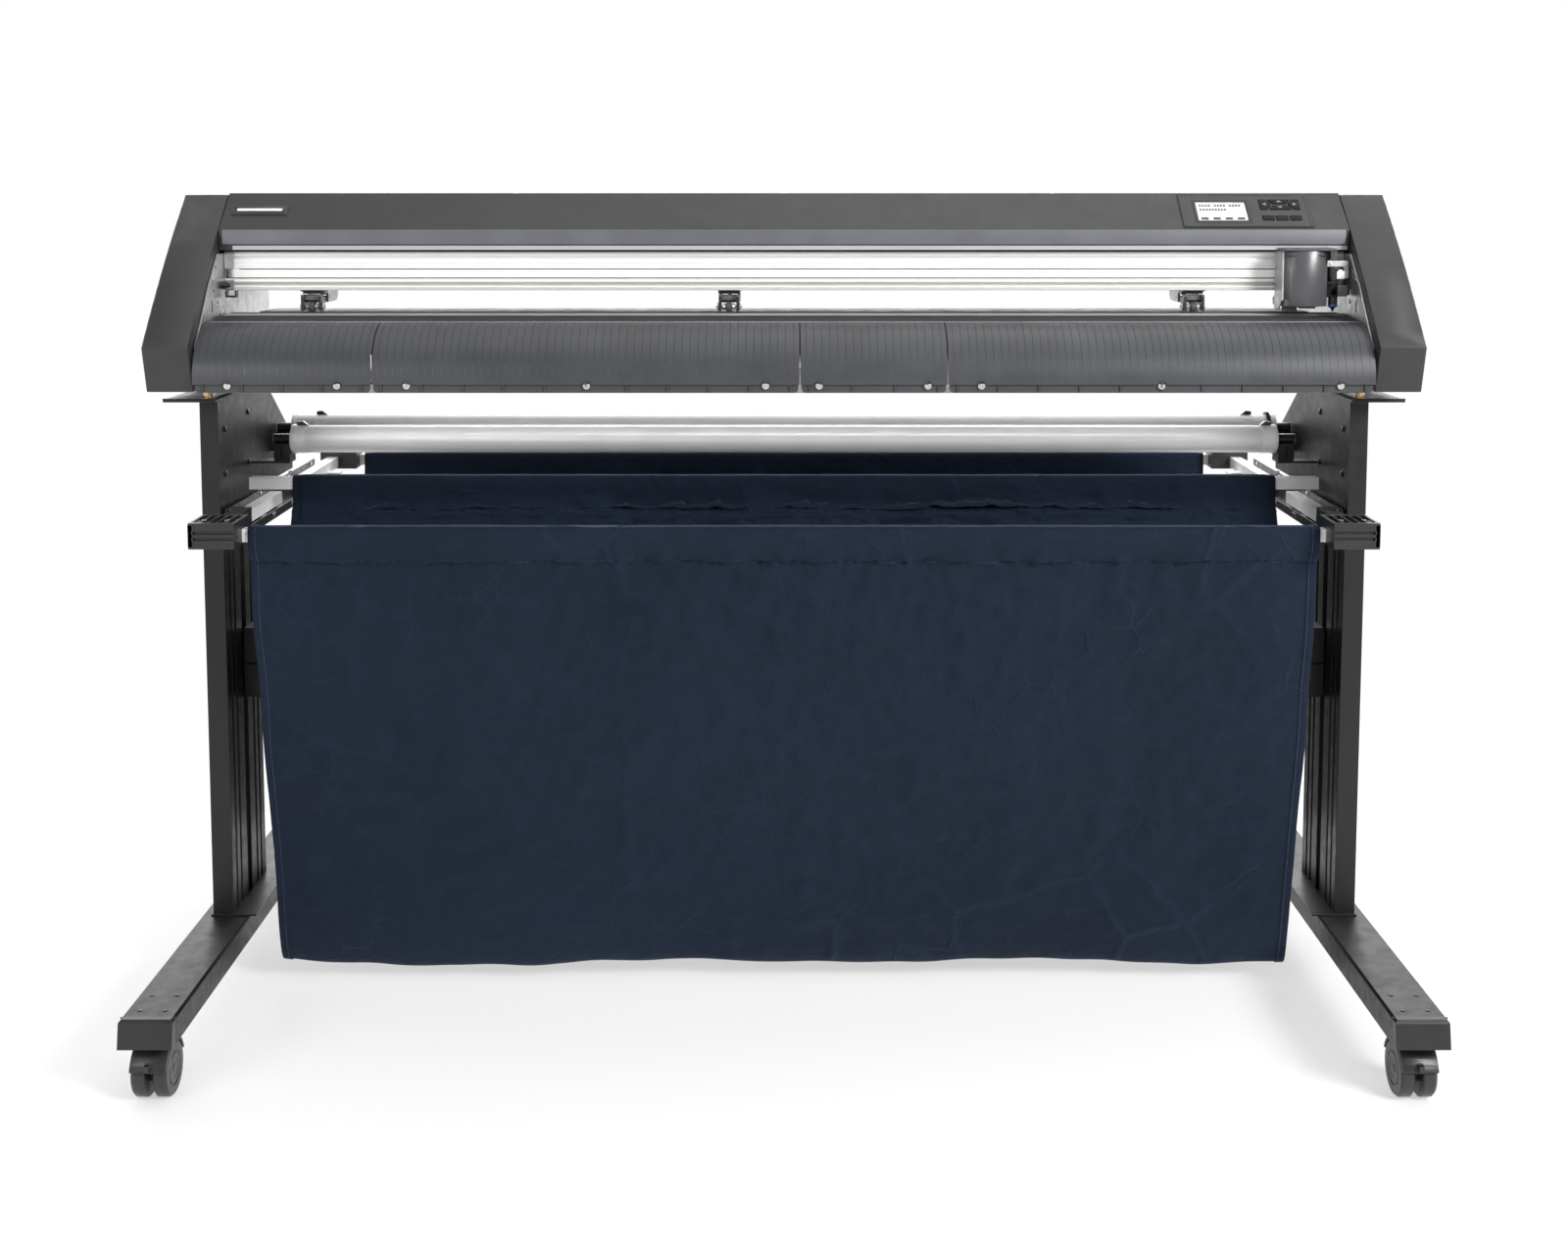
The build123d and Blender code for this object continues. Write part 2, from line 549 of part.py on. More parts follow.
def build_top_cover():
    """The long bent cover over the rail, with a window for the control panel."""
    path = [
        (180, 946), (180, 960), (110, RIDGE_Z - 0.5), (RIDGE_Y, RIDGE_Z),
        (SLOPE_FRONT_Y, SLOPE_FRONT_Z), (SLOPE_FRONT_Y, 1003.5), (SLOPE_FRONT_Y + 2, 1003.5),
        (SLOPE_FRONT_Y + 2, 996),
    ]
    cover = strip_x(path, COVER_WALL, -SIDE_FRAME[1], SIDE_FRAME[1])
    cover -= slope_box(530, 693, 8, 64, -10, 10)
    write_node("top_cover", [cover])


def build_rail():
    """The extruded carriage rail: guide grooves, a belt channel and a slot for the pinch brackets."""
    rail = span_box(-BED_HALF, BED_HALF, RAIL_FRONT, RAIL_BACK, RAIL_LOW, RAIL_HIGH)
    rail -= span_box(-800, 800, -14, RAIL_BACK - 3, RAIL_LOW + 9, RAIL_HIGH - 4)
    for groove_z in (951, 986):
        rail -= span_box(-800, 800, RAIL_FRONT - 1, RAIL_FRONT + 6, groove_z - 2, groove_z + 2)
    rail -= span_box(-800, 800, RAIL_FRONT - 1, RAIL_FRONT + 15, 958.5, 971.5)
    rail -= span_box(-800, 800, RAIL_FRONT - 1, RAIL_FRONT + 1.2, 974, 979)
    rail -= span_box(-800, 800, -22, -12, RAIL_LOW - 1, RAIL_LOW + 6)
    write_node("y_rail", [rail])


def belt_loop(radius, low, high):
    """A solid that fills a belt's loop round both end pulleys."""
    shape = span_box(-BELT_PULLEY_X, BELT_PULLEY_X, BELT_Y - radius, BELT_Y + radius, low, high)
    for x in (-BELT_PULLEY_X, BELT_PULLEY_X):
        shape += rod_z(x, BELT_Y, low, high, radius)
    return shape


def build_drive():
    """The carriage belt with its end pulleys, and the two motors inside the side covers."""
    low, high = 959.8, 970.2
    outer, thick = 6.9, 1.2
    belt = belt_loop(outer, low, high) - belt_loop(outer - thick, low, high)
    pulley = rod_z(BELT_PULLEY_X, BELT_Y, low - 0.8, high + 0.8, outer - thick)
    write_node("drive_belt", [belt] + both_sides([pulley]))

    carriage_motor = span_box(-786, -746, 10, 66, 925, 981)
    carriage_motor += rod_x(-790, -744, 38, 953, 8)
    feed_motor = rod_x(746, 790, -60, 930, 26) + rod_x(743.5, 748, -60, 930, 6)
    gearbox = span_box(746, 760, -46, -14, 888, 918)
    write_node("drive_motors", [carriage_motor, feed_motor + gearbox])


def build_electronics():
    """The main board and power supply in the tray, and the power inlet in the right cover."""
    board = span_box(475, 675, -50, 80, 822, 823.6)
    board += span_box(500, 540, -20, 20, 823, 830)
    board += span_box(570, 660, 30, 60, 823, 836)
    supply = span_box(-640, -480, -60, 60, 816, 850)
    inlet = span_box(758, 786, 160, 180.5, 900, 921)
    inlet -= span_box(762, 782, 164, 185, 903.5, 917.5)
    for x in (767, 772, 777):
        inlet += span_box(x - 1, x + 1, 163, 176, 908, 913)
    write_node("electronics", [board, supply, inlet])
    rocker = prism_x([(168, 932), (181, 931.5), (183.5, 946), (168, 945)], 764, 780)
    write_node("power_switch", [rocker])


# ---- control panel -----------------------------------------------------------------------------
def key_outlines():
    """Each key's (x, distance down the slope) outline."""
    top, bottom = 15.8, 35.3
    middle = (top + bottom) / 2
    keys = {
        "key_left": [(632, top), (640, top), (646, middle - 3), (646, middle + 3), (640, bottom), (632, bottom)],
        "key_right": [(684.5, top), (676.5, top), (670.5, middle - 3), (670.5, middle + 3), (676.5, bottom),
                      (684.5, bottom)],
        "key_up": [(643.5, top), (673, top), (667, middle - 1.8), (649.5, middle - 1.8)],
        "key_down": [(649.5, middle + 1.8), (667, middle + 1.8), (673, bottom), (643.5, bottom)],
    }
    for i, name in enumerate(("key_function_left", "key_function_middle", "key_function_right")):
        x = 632 + i * 18
        keys[name] = [(x, 47.5), (x + 15, 47.5), (x + 15, 56.2), (x, 56.2)]
    return keys


def grown(points, margin):
    """An outline pushed out from its middle by a margin on every corner."""
    x_mid = (min(x for x, _ in points) + max(x for x, _ in points)) / 2
    d_mid = (min(d for _, d in points) + max(d for _, d in points)) / 2
    x_half = max(x for x, _ in points) - x_mid
    d_half = max(d for _, d in points) - d_mid
    x_scale = (x_half + margin) / x_half
    d_scale = (d_half + margin) / d_half
    return [(x_mid + (x - x_mid) * x_scale, d_mid + (d - d_mid) * d_scale) for x, d in points]


def build_control_panel():
    """The raised bezel with its screen, four direction keys and three function keys."""
    panel = slope_box(525.5, 697.5, 3, 69, 0.1, 1.6) + slope_box(530.4, 692.6, 8.4, 63.6, -3, 0.5)
    screen = (547, 613, 19.4, 56.9)
    panel -= slope_box(*screen, -5, 5)
    for name, outline in key_outlines().items():
        panel -= slope_prism(grown(outline, 0.45), -5, 5)
        write_node(name, [slope_prism(grown(outline, 0), -4.5, 2.6)])
    badge = slope_box(-732, -658, 26, 45, 0.1, 1.1)
    write_node("control_panel", [panel, badge])
    write_node("lcd_screen", [slope_box(screen[0] + 0.2, screen[1] - 0.2, screen[2] + 0.2, screen[3] - 0.2, -3, 0.9)])


# ---- carriage ----------------------------------------------------------------------------------
def build_carriage_base():
    """The carriage's guide plate and frame, at its right-hand parking place."""
    base = span_box(655, 701, -46, -37.2, 946, 993)
    for groove_z in (951, 986):
        base += span_box(660, 696, -38, -30.5, groove_z - 1.6, groove_z + 1.6)
    base += span_box(658, 698, -76, -45, 955, 985) - span_box(662, 694, -72, -50, 950, 990)
    base += span_box(700, 711, -56, -46, 950, 988)
    base += rod_z(678, -66, 940, 956, 6)
    write_node("carriage_base", [base])


def cover_plan(inset):
    """The carriage cover seen from above, moved inwards by an inset: straight sides and a bowed front."""
    left = CARRIAGE_LEFT + inset
    right = CARRIAGE_RIGHT - inset
    back = -58.0 + 2 * inset
    side_front = -79.0 + inset / 2
    middle = (left + right) / 2 - 6
    walls = Polyline((left, side_front), (left, back), (right, back), (right, side_front))
    front = ThreePointArc((right, side_front), (middle, -90.0 + inset), (left, side_front))
    return make_face(walls.edges() + front.edges())


def build_carriage_cover():
    """The hollow cover of the carriage and the flat lid over it."""
    low, high = 924.5, 996.5
    wall = 2.2
    left, right = CARRIAGE_LEFT, CARRIAGE_RIGHT
    shell = Pos(0, 0, low) * extrude(cover_plan(0), amount=high - low)
    shell -= Pos(0, 0, low - 1) * extrude(cover_plan(wall), amount=high - low - 1.5)
    shell -= span_box(left + wall, right - wall, -66, -53, low - 1, high - 2.5)
    shell -= span_box(left - 1, left + 7, -100, -50, low - 1, low + 9)
    lid = span_box(left - 2, right + 9, -90.5, -53, high + 0.4, high + 3)
    lid_post = span_box(left + 10, right - 10, -75, -60, high - 1, high + 1)
    write_node("carriage_cover", [shell + lid + lid_post])


def build_tool_holder():
    """The holder that presses the blade down: guide block, clamp, blade body and end knob."""
    tool = span_box(711.4, 720, -61, -47, 938, 978)
    tool += span_box(711.4, 733, TOOL_Y - 7, -55, 937, 951)
    for low, high, radius in ((925, 974.8, 5), (955, 968, 6.4), (928, 931, 6)):
        tool += rod_z(TOOL_X, TOOL_Y, low, high, radius)
    tool += rod_x(732, 738.2, TOOL_Y + 3, 944, 6)
    tip = Pos(TOOL_X, TOOL_Y, 921.2) * Cone(0.8, 4.2, 8)
    write_node("tool_holder", [tool + tip])


def pinch_bracket(x):
    """The bracket that slides under the rail and carries one pinch arm between two lugs."""
    top = RAIL_LOW - 0.3
    bracket = span_box(x - 14, x + 14, -24, 22, 937.4, top)
    bracket += span_box(x - 12, x + 12, -21.6, -12.4, 942, RAIL_LOW + 5.6)
    lug = [(0, top), (58, top), (56, 932), (46, 925), (0, 925)]
    for x0, x1 in ((x - 14, x - 10.5), (x + 10.5, x + 14)):
        bracket += prism_x(lug, x0, x1)
    return bracket - rod_x(x - 20, x + 20, PINCH_PIVOT_Y, PINCH_PIVOT_Z, PINCH_PIN_RADIUS + RUNNING_GAP)


def pinch_arm(x):
    """The forked arm on its pivot pin, with a crosspiece above the roller."""
    arm = span_box(x - 10, x + 10, -24, 15, 926, 933)
    arm += span_box(x - 13.5, x + 13.5, -20, -14, 926, 933)
    arm += span_box(x - 13.5, x + 13.5, -31, -25, 929, 936.8)
    cheek = [(-38, 915.5), (-38, 936.8), (-26, 936.8), (-24.5, 933), (-15, 933), (-15, 922), (-24, 915.5)]
    for x0, x1 in ((x - 13.5, x - 9.8), (x + 9.8, x + 13.5)):
        arm += prism_x(cheek, x0, x1)
    arm += rod_x(x - 14, x + 14, PINCH_PIVOT_Y, PINCH_PIVOT_Z, PINCH_PIN_RADIUS)
    return arm - rod_x(x - 20, x + 20, GRIT_Y, PINCH_Z, PINCH_AXLE_RADIUS + RUNNING_GAP)


def build_pinch_rollers():
    """Three pinch rollers, each in a forked arm on a bracket."""
    hub_radius = 4.0
    for number, x in enumerate(PINCH_X, start=1):
        write_node(f"pinch_bracket_{number}", [pinch_bracket(x)])
        write_node(f"pinch_arm_{number}", [pinch_arm(x)])
        rubber = rod_x(x - 3.5, x + 3.5, GRIT_Y, PINCH_Z, PINCH_RADIUS)
        rubber -= rod_x(x - 4, x + 4, GRIT_Y, PINCH_Z, hub_radius)
        hub = rod_x(x - 9, x + 9, GRIT_Y, PINCH_Z, hub_radius)
        hub += rod_x(x - 13.5, x + 13.5, GRIT_Y, PINCH_Z, PINCH_AXLE_RADIUS)
        write_node(f"pinch_roller_{number}", [rubber, hub])


def build_media_drive():
    """The grit roller, and the shaft and lever that lift the pinch arms."""
    grit = rod_x(-734, 734, GRIT_Y, GRIT_Z, GRIT_RADIUS) + rod_x(-742.5, 742.5, GRIT_Y, GRIT_Z, 6)
    write_node("grit_shaft", [grit])
    shaft = rod_x(-742.5, 742.5, SET_SHAFT_Y, SET_SHAFT_Z, 4) + rod_x(-735, 735, SET_SHAFT_Y, SET_SHAFT_Z, 5)
    lever_outline = [(24, 961), (40, 960), (150, 938), (188, 924), (186, 916), (148, 929), (30, 948)]
    shaft += prism_x(lever_outline, 716, 724)
    shaft += prism_x([(186, 927), (206, 919), (203, 909), (183, 916)], 710, 729)
    write_node("set_lever", [shaft])


def main():
    os.makedirs("parts", exist_ok=True)
    build_casters()
    build_feet()
    build_legs()
    build_cross_beam()
    build_stand_plates()
    build_roll_shafts()
    build_basket_channels()
    build_basket_frames()
    build_basket_cloth()
    build_side_frames()
    build_base_frame()
    build_platen()
    build_apron()
    build_side_covers()
    build_top_cover()
    build_rail()
    build_drive()
    build_electronics()
    build_control_panel()
    build_carriage_base()
    build_carriage_cover()
    build_tool_holder()
    build_pinch_rollers()
    build_media_drive()


main()
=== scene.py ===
import bisect
import json
import math

import bmesh
import bpy
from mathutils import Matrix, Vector, noise


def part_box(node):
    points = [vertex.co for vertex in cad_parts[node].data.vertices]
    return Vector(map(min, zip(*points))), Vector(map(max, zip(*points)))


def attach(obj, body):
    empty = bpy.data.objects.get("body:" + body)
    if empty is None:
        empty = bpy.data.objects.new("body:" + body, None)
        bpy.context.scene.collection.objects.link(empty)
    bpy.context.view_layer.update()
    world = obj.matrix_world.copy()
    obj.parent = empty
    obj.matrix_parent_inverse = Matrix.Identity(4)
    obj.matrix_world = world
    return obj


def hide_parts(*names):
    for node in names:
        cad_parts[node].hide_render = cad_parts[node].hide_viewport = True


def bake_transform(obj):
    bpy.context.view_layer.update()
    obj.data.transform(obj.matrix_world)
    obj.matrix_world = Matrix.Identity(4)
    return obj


# The looks of a floor-standing vinyl cutter. Metres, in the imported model's frame: +Z is up, +X is to the
# right, the front faces -Y, and the origin is on the floor under the middle of the machine.
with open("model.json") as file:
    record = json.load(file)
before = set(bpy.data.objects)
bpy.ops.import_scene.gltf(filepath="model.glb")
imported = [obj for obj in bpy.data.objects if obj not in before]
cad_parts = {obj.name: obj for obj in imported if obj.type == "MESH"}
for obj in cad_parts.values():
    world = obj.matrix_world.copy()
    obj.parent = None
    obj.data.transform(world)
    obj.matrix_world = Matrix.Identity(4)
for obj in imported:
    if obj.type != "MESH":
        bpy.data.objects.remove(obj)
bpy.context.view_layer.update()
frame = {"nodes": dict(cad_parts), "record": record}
nodes = frame["nodes"]

SHARP_ANGLE = math.radians(32)
MM = 0.001
LEG_PLANE_Y = -57.0
SIDES = (-1, 1)


# ---- materials -----------------------------------------------------------------------------------
class Paint:
    """A principled material and short ways to add procedural detail to it."""

    def __init__(self, name, color, rough, metal=0.0):
        self.material = bpy.data.materials.new(name)
        self.material.use_nodes = True
        self.tree = self.material.node_tree
        self.shader = self.tree.nodes["Principled BSDF"]
        self.set("Base Color", (*color, 1.0))
        self.set("Roughness", rough)
        self.set("Metallic", metal)
        self.color = color
        self.normal = None

    def set(self, socket, value):
        self.shader.inputs[socket].default_value = value

    def node(self, kind, **settings):
        made = self.tree.nodes.new(kind)
        for name, value in settings.items():
            setattr(made, name, value)
        return made

    def link(self, source, target):
        self.tree.links.new(source, target)

    def place(self, stretch=(1, 1, 1)):
        """Object coordinates in metres, multiplied along each axis."""
        coordinates = self.node("ShaderNodeTexCoord")
        mapping = self.node("ShaderNodeMapping")
        mapping.inputs["Scale"].default_value = stretch
        self.link(coordinates.outputs["Object"], mapping.inputs["Vector"])
        return mapping.outputs["Vector"]

    def noise(self, scale, detail=3.0, stretch=(1, 1, 1)):
        """A noise whose features are about 1/scale metres across."""
        texture = self.node("ShaderNodeTexNoise")
        texture.inputs["Scale"].default_value = scale
        texture.inputs["Detail"].default_value = detail
        self.link(self.place(stretch), texture.inputs["Vector"])
        return texture.outputs["Fac"]

    def creases(self, scale):
        """Thin lines, 0 to 1, where the cells of a crumpled sheet meet, in some areas only."""
        wander = self.node("ShaderNodeTexNoise")
        wander.inputs["Scale"].default_value = 1.2 * scale
        self.link(self.place(), wander.inputs["Vector"])
        bend = self.node("ShaderNodeVectorMath", operation="MULTIPLY_ADD")
        bend.inputs[1].default_value = (0.35 / scale,) * 3
        self.link(wander.outputs["Color"], bend.inputs[0])
        self.link(self.place(), bend.inputs[2])
        cells = self.node("ShaderNodeTexVoronoi", feature="DISTANCE_TO_EDGE")
        cells.inputs["Scale"].default_value = scale
        self.link(bend.outputs[0], cells.inputs["Vector"])
        line = self.node("ShaderNodeMath", operation="MULTIPLY")
        self.link(self.between(cells.outputs["Distance"], 1.0, 0.0, 0.0, 0.045), line.inputs[0])
        self.link(self.between(self.noise(0.5 * scale, 2), 0.0, 1.0, 0.5, 0.66), line.inputs[1])
        return line.outputs[0]

    def between(self, fac, low, high, start=0.3, end=0.7):
        """Map a factor to a range of numbers."""
        mapped = self.node("ShaderNodeMapRange")
        self.link(fac, mapped.inputs["Value"])
        for socket, value in (("From Min", start), ("From Max", end), ("To Min", low), ("To Max", high)):
            mapped.inputs[socket].default_value = value
        return mapped.outputs["Result"]

    def tint(self, fac, other, start=0.3, end=0.7):
        """Mix the base colour towards another colour by a factor."""
        mix = self.node("ShaderNodeMix", data_type="RGBA")
        current = self.shader.inputs["Base Color"]
        if current.is_linked:
            self.link(current.links[0].from_socket, mix.inputs["A"])
        else:
            mix.inputs["A"].default_value = (*self.color, 1.0)
        mix.inputs["B"].default_value = (*other, 1.0)
        self.link(self.between(fac, 0.0, 1.0, start, end), mix.inputs["Factor"])
        self.link(mix.outputs["Result"], current)

    def roughen(self, fac, low, high):
        self.link(self.between(fac, low, high), self.shader.inputs["Roughness"])

    def bump(self, height, distance, strength=1.0):
        """Stack a bump of a real height in metres on the ones before it."""
        made = self.node("ShaderNodeBump")
        made.inputs["Strength"].default_value = strength
        made.inputs["Distance"].default_value = distance
        self.link(height, made.inputs["Height"])
        if self.normal is not None:
            self.link(self.normal, made.inputs["Normal"])
        self.normal = made.outputs["Normal"]
        self.link(self.normal, self.shader.inputs["Normal"])


def scaled(color, factor):
    return tuple(c * factor for c in color)


GRAIN_SCALE = 1 / 0.0011
# How each kind of surface varies: tints are (noise scale, detail, colour factor, from, to), gloss is (scale,
# detail, smoother by, rougher by) and relief is (scale, detail, height in metres, strength, stretch if any).
SURFACES = {
    # Spark-textured moulded plastic: a fine grain, faint mottling and uneven gloss.
    "moulded": ([(GRAIN_SCALE, 2, 1.35, 0.3, 0.7), (9, 3, 0.88, 0.35, 0.75)], (40, 4, 0.05, 0.06),
                (GRAIN_SCALE, 2, 0.00012, 0.5)),
    # Powder-coated steel: an orange-peel skin with a slight variation in gloss.
    "powder": ([(1400, 1, 1.8, 0.45, 0.8), (5, 3, 0.8, 0.4, 0.75)], (60, 3, 0.06, 0.08),
               (420, 2, 0.0002, 0.45)),
    # Satin-anodised tube: an even, finely blasted skin with faint handling marks.
    "satin": ([(14, 3, 0.94, 0.4, 0.75)], (55, 4, 0.04, 0.06), (2600, 1, 0.00001, 0.4)),
    # Zinc-plated sheet steel: cloudy spangle and fine scratches.
    "zinc": ([(120, 3, 0.82, 0.35, 0.7)], (70, 4, 0.07, 0.1), (900, 2, 0.00003, 0.5, (1, 1, 0.2))),
    # Ground rubber with a dusty, uneven skin.
    "rubbery": ([(300, 3, 1.5, 0.4, 0.8)], (100, 3, 0.05, 0.08), (800, 2, 0.0001, 0.4)),
    # Smooth moulded plastic with slight smears in its gloss.
    "glossy": ([(15, 2, 0.93, 0.4, 0.7)], (80, 4, 0.03, 0.05), None),
}


def surface(kind, name, color, rough, metal=0.0):
    """A material of one of the kinds in SURFACES."""
    tints, gloss, relief = SURFACES[kind]
    paint = Paint(name + "_look", color, rough, metal)
    for scale, detail, factor, start, end in tints:
        paint.tint(paint.noise(scale, detail), scaled(color, factor), start, end)
    scale, detail, less, more = gloss
    paint.roughen(paint.noise(scale, detail), rough - less, rough + more)
    if relief:
        scale, detail, height, strength, *stretch = relief
        paint.bump(paint.noise(scale, detail, *stretch), height, strength)
    return paint.material


def drawn_metal(name, color, rough, along, metal=1.0):
    """Extruded or brushed metal with fine lines along one axis. Anodised metal is only partly metallic."""
    paint = Paint(name + "_look", color, rough, metal)
    stretch = [1.0, 1.0, 1.0]
    stretch["XYZ".index(along)] = 0.004
    lines = paint.noise(1500, 2, stretch)
    paint.tint(lines, scaled(color, 0.96), 0.45, 0.75)
    paint.tint(paint.noise(6, 2), scaled(color, 0.97), 0.4, 0.7)
    paint.roughen(paint.noise(300, 3, stretch), rough - 0.05, rough + 0.07)
    paint.bump(lines, 0.000008, 0.4)
    return paint.material


def woven(name, color):
    """A plain woven cloth: crossing yarns, slubs, faint fading, a soft sheen, and painted light and shade on
    its crumples and creases.
    """
    paint = Paint(name + "_look", color, 0.88)
    paint.set("Sheen Weight", 0.12)
    paint.set("Sheen Roughness", 0.5)
    paint.set("Sheen Tint", (0.35, 0.45, 0.7, 1.0))
    paint.set("Specular IOR Level", 0.2)
    across = paint.noise(900, 1, (1, 0.06, 0.06))
    along = paint.noise(900, 1, (0.06, 1, 1))
    yarns = paint.node("ShaderNodeMath", operation="ADD")
    paint.link(across, yarns.inputs[0])
    paint.link(along, yarns.inputs[1])
    paint.tint(yarns.outputs[0], scaled(color, 1.5), 0.8, 1.25)
    paint.tint(paint.noise(3.5, 4), scaled(color, 0.86), 0.35, 0.75)
    paint.tint(paint.noise(260, 2, (0.15, 1, 1)), scaled(color, 1.25), 0.62, 0.8)
    # The crumple noise bumps the cloth and is also painted into its colour as shading: lighter on the
    # crumples' crests.
    crumple_and_shading = paint.noise(26, 5, (1, 0.4, 1.5))
    paint.tint(crumple_and_shading, scaled(color, 1.35), 0.5, 0.78)
    paint.bump(crumple_and_shading, 0.009, 0.6)
    # The crease lines are bumped and also painted lighter: a painted highlight along each crease.
    for scale, height in ((6, 0.0035), (15, 0.0016)):
        line = paint.creases(scale)
        paint.tint(line, scaled(color, 1.6), 0.1, 1.4)
        paint.bump(line, height, 0.7)
    paint.bump(yarns.outputs[0], 0.0002, 0.6)
    return paint.material


LOOKS = {
    "cover_plastic": surface("moulded", "cover_plastic", (0.0235, 0.0235, 0.024), 0.46),
    "apron_plastic": surface("moulded", "apron_plastic", (0.038, 0.0395, 0.044), 0.42),
    "bed_plastic": surface("moulded", "bed_plastic", (0.03, 0.03, 0.032), 0.4),
    "stand_paint": surface("powder", "stand_paint", (0.0072, 0.0072, 0.008), 0.4),
    "frame_steel": surface("zinc", "frame_steel", (0.55, 0.55, 0.55), 0.42, 1.0),
    "rail_aluminium": drawn_metal("rail_aluminium", (0.92, 0.92, 0.925), 0.38, "X", 0.1),
    "roller_aluminium": surface("satin", "roller_aluminium", (0.95, 0.95, 0.945), 0.36, 0.15),
    "basket_navy": woven("basket_navy", (0.0048, 0.0101, 0.0212)),
    "black_plastic": surface("moulded", "black_plastic", (0.016, 0.016, 0.017), 0.36),
    "wheel_plastic": surface("moulded", "wheel_plastic", (0.02, 0.02, 0.022), 0.36),
    "key_plastic": surface("moulded", "key_plastic", (0.009, 0.0092, 0.01), 0.5),
    "screen": surface("glossy", "screen", (0.56, 0.57, 0.55), 0.25),
    "rubber": surface("rubbery", "rubber", (0.05, 0.05, 0.05), 0.6),
    "grit_steel": drawn_metal("grit_steel", (0.45, 0.45, 0.45), 0.5, "X"),
    "bolt_brass": surface("zinc", "bolt_brass", (0.85, 0.6, 0.26), 0.3, 1.0),
    "screw_steel": surface("zinc", "screw_steel", (0.75, 0.75, 0.74), 0.28, 1.0),
    "belt_rubber": surface("glossy", "belt_rubber", (0.93, 0.93, 0.92), 0.5),
}
for dull, level in (("key_plastic", 0.15), ("stand_paint", 0.4)):
    LOOKS[dull].node_tree.nodes["Principled BSDF"].inputs["Specular IOR Level"].default_value = level
# A lighter, bluish copy of the cover plastic: on the fascia it is painted light, standing in for the front
# light and the floor reflected there.
TRIM_LOOK = surface("moulded", "fascia", (0.1, 0.105, 0.119), 0.38)
CARRIAGE_LOOK = surface("glossy", "carriage", (0.07, 0.071, 0.075), 0.3)
BLUE_LOOK = surface("glossy", "blue_ring", (0.05, 0.13, 0.3), 0.35)
INK_LOOK = surface("glossy", "screen_mark", (0.02, 0.02, 0.022), 0.4)
MARK_LOOK = surface("glossy", "key_mark", (0.16, 0.16, 0.165), 0.4)
STRIP_LOOK = surface("moulded", "bed_strip", (0.42, 0.42, 0.42), 0.35)
LIGHT_STRIP_LOOK = surface("glossy", "light_strip", (0.42, 0.42, 0.43), 0.4)
TAPE_LOOK = surface("glossy", "rail_tape", (0.5, 0.43, 0.34), 0.5)
WHITE_LOOK = surface("glossy", "white_moulding", (0.8, 0.8, 0.79), 0.4)
THREAD_LOOK = surface("rubbery", "thread", (0.045, 0.06, 0.095), 0.8)


# ---- mesh building -------------------------------------------------------------------------------
class Build:
    """Collects closed solids, in millimetres from the leg plane, and turns them into one piece."""

    def __init__(self):
        self.mesh = bmesh.new()

    def loft(self, rings):
        """A closed solid through rings of points."""
        rows = [[self.mesh.verts.new(point) for point in ring] for ring in rings]
        count = len(rows[0])
        for low, high in zip(rows, rows[1:]):
            for i in range(count):
                j = (i + 1) % count
                self.mesh.faces.new((low[i], low[j], high[j], high[i]))
        self.mesh.faces.new(rows[0][::-1])
        self.mesh.faces.new(rows[-1])
        return self

    def box(self, lo, hi):
        outline = ((lo[0], lo[1]), (hi[0], lo[1]), (hi[0], hi[1]), (lo[0], hi[1]))
        return self.loft([[(x, y, z) for x, y in outline] for z in (lo[2], hi[2])])

    def prism(self, axis, outline, start, end):
        """An outline in the two axes other than the given one, drawn out along that axis."""
        return self.loft([[put(axis, distance, point) for point in outline] for distance in (start, end)])

    def turned(self, axis, centre, profile, sides=40, notch=0.0):
        """A solid of revolution about an axis through centre: the profile is (along, radius) pairs.

        With a notch, every second side point is set in by it, which makes ridges or teeth."""
        turn = [(math.tau * i / sides, notch * (i % 2)) for i in range(sides)]
        rings = []
        for along, radius in profile:
            ring = [put(axis, along, ((radius - inset) * math.cos(a), (radius - inset) * math.sin(a)))
                    for a, inset in turn]
            rings.append([Vector(point) + Vector(centre) for point in ring])
        return self.loft(rings)

    def pair(self, centre, profile, sides=40):
        """Two solids of revolution along X, mirrored about a centre."""
        for side in SIDES:
            self.turned("X", centre, [(side * along, radius) for along, radius in profile], sides)
        return self

    def screws(self, axis, places, radius, height, outward):
        """Domed screw heads that point along an axis."""
        dome = ((0, radius), (0.5 * height, radius), (0.85 * height, 0.75 * radius), (height, 0.3 * radius))
        for place in places:
            self.turned(axis, place, [(outward * along, size) for along, size in dome], 20)
        return self

    def mirrored(self):
        """Add the mirror image of everything so far, across the middle plane of the machine."""
        everything = self.mesh.verts[:] + self.mesh.edges[:] + self.mesh.faces[:]
        for item in bmesh.ops.duplicate(self.mesh, geom=everything)["geom"]:
            if isinstance(item, bmesh.types.BMVert):
                item.co.x = -item.co.x
        return self

    def piece(self, name, look, body="machine", bevel=0.0004, slot=None):
        """Make the object, riding on a body. A look may be given by the name of a material slot."""
        if isinstance(look, str):
            look, slot = LOOKS[look], look
        bmesh.ops.recalc_face_normals(self.mesh, faces=self.mesh.faces)
        for vertex in self.mesh.verts:
            vertex.co = metres(vertex.co)
        data = bpy.data.meshes.new(name)
        self.mesh.to_mesh(data)
        self.mesh.free()
        made = new_object(name, data, look)
        if bevel:
            round_edges(made, bevel)
        else:
            shade(made)
        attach(made, body)
        return made


def metres(point):
    """A point in millimetres from the leg plane, in the machine's frame."""
    return Vector((point[0], point[1] + LEG_PLANE_Y, point[2])) * MM


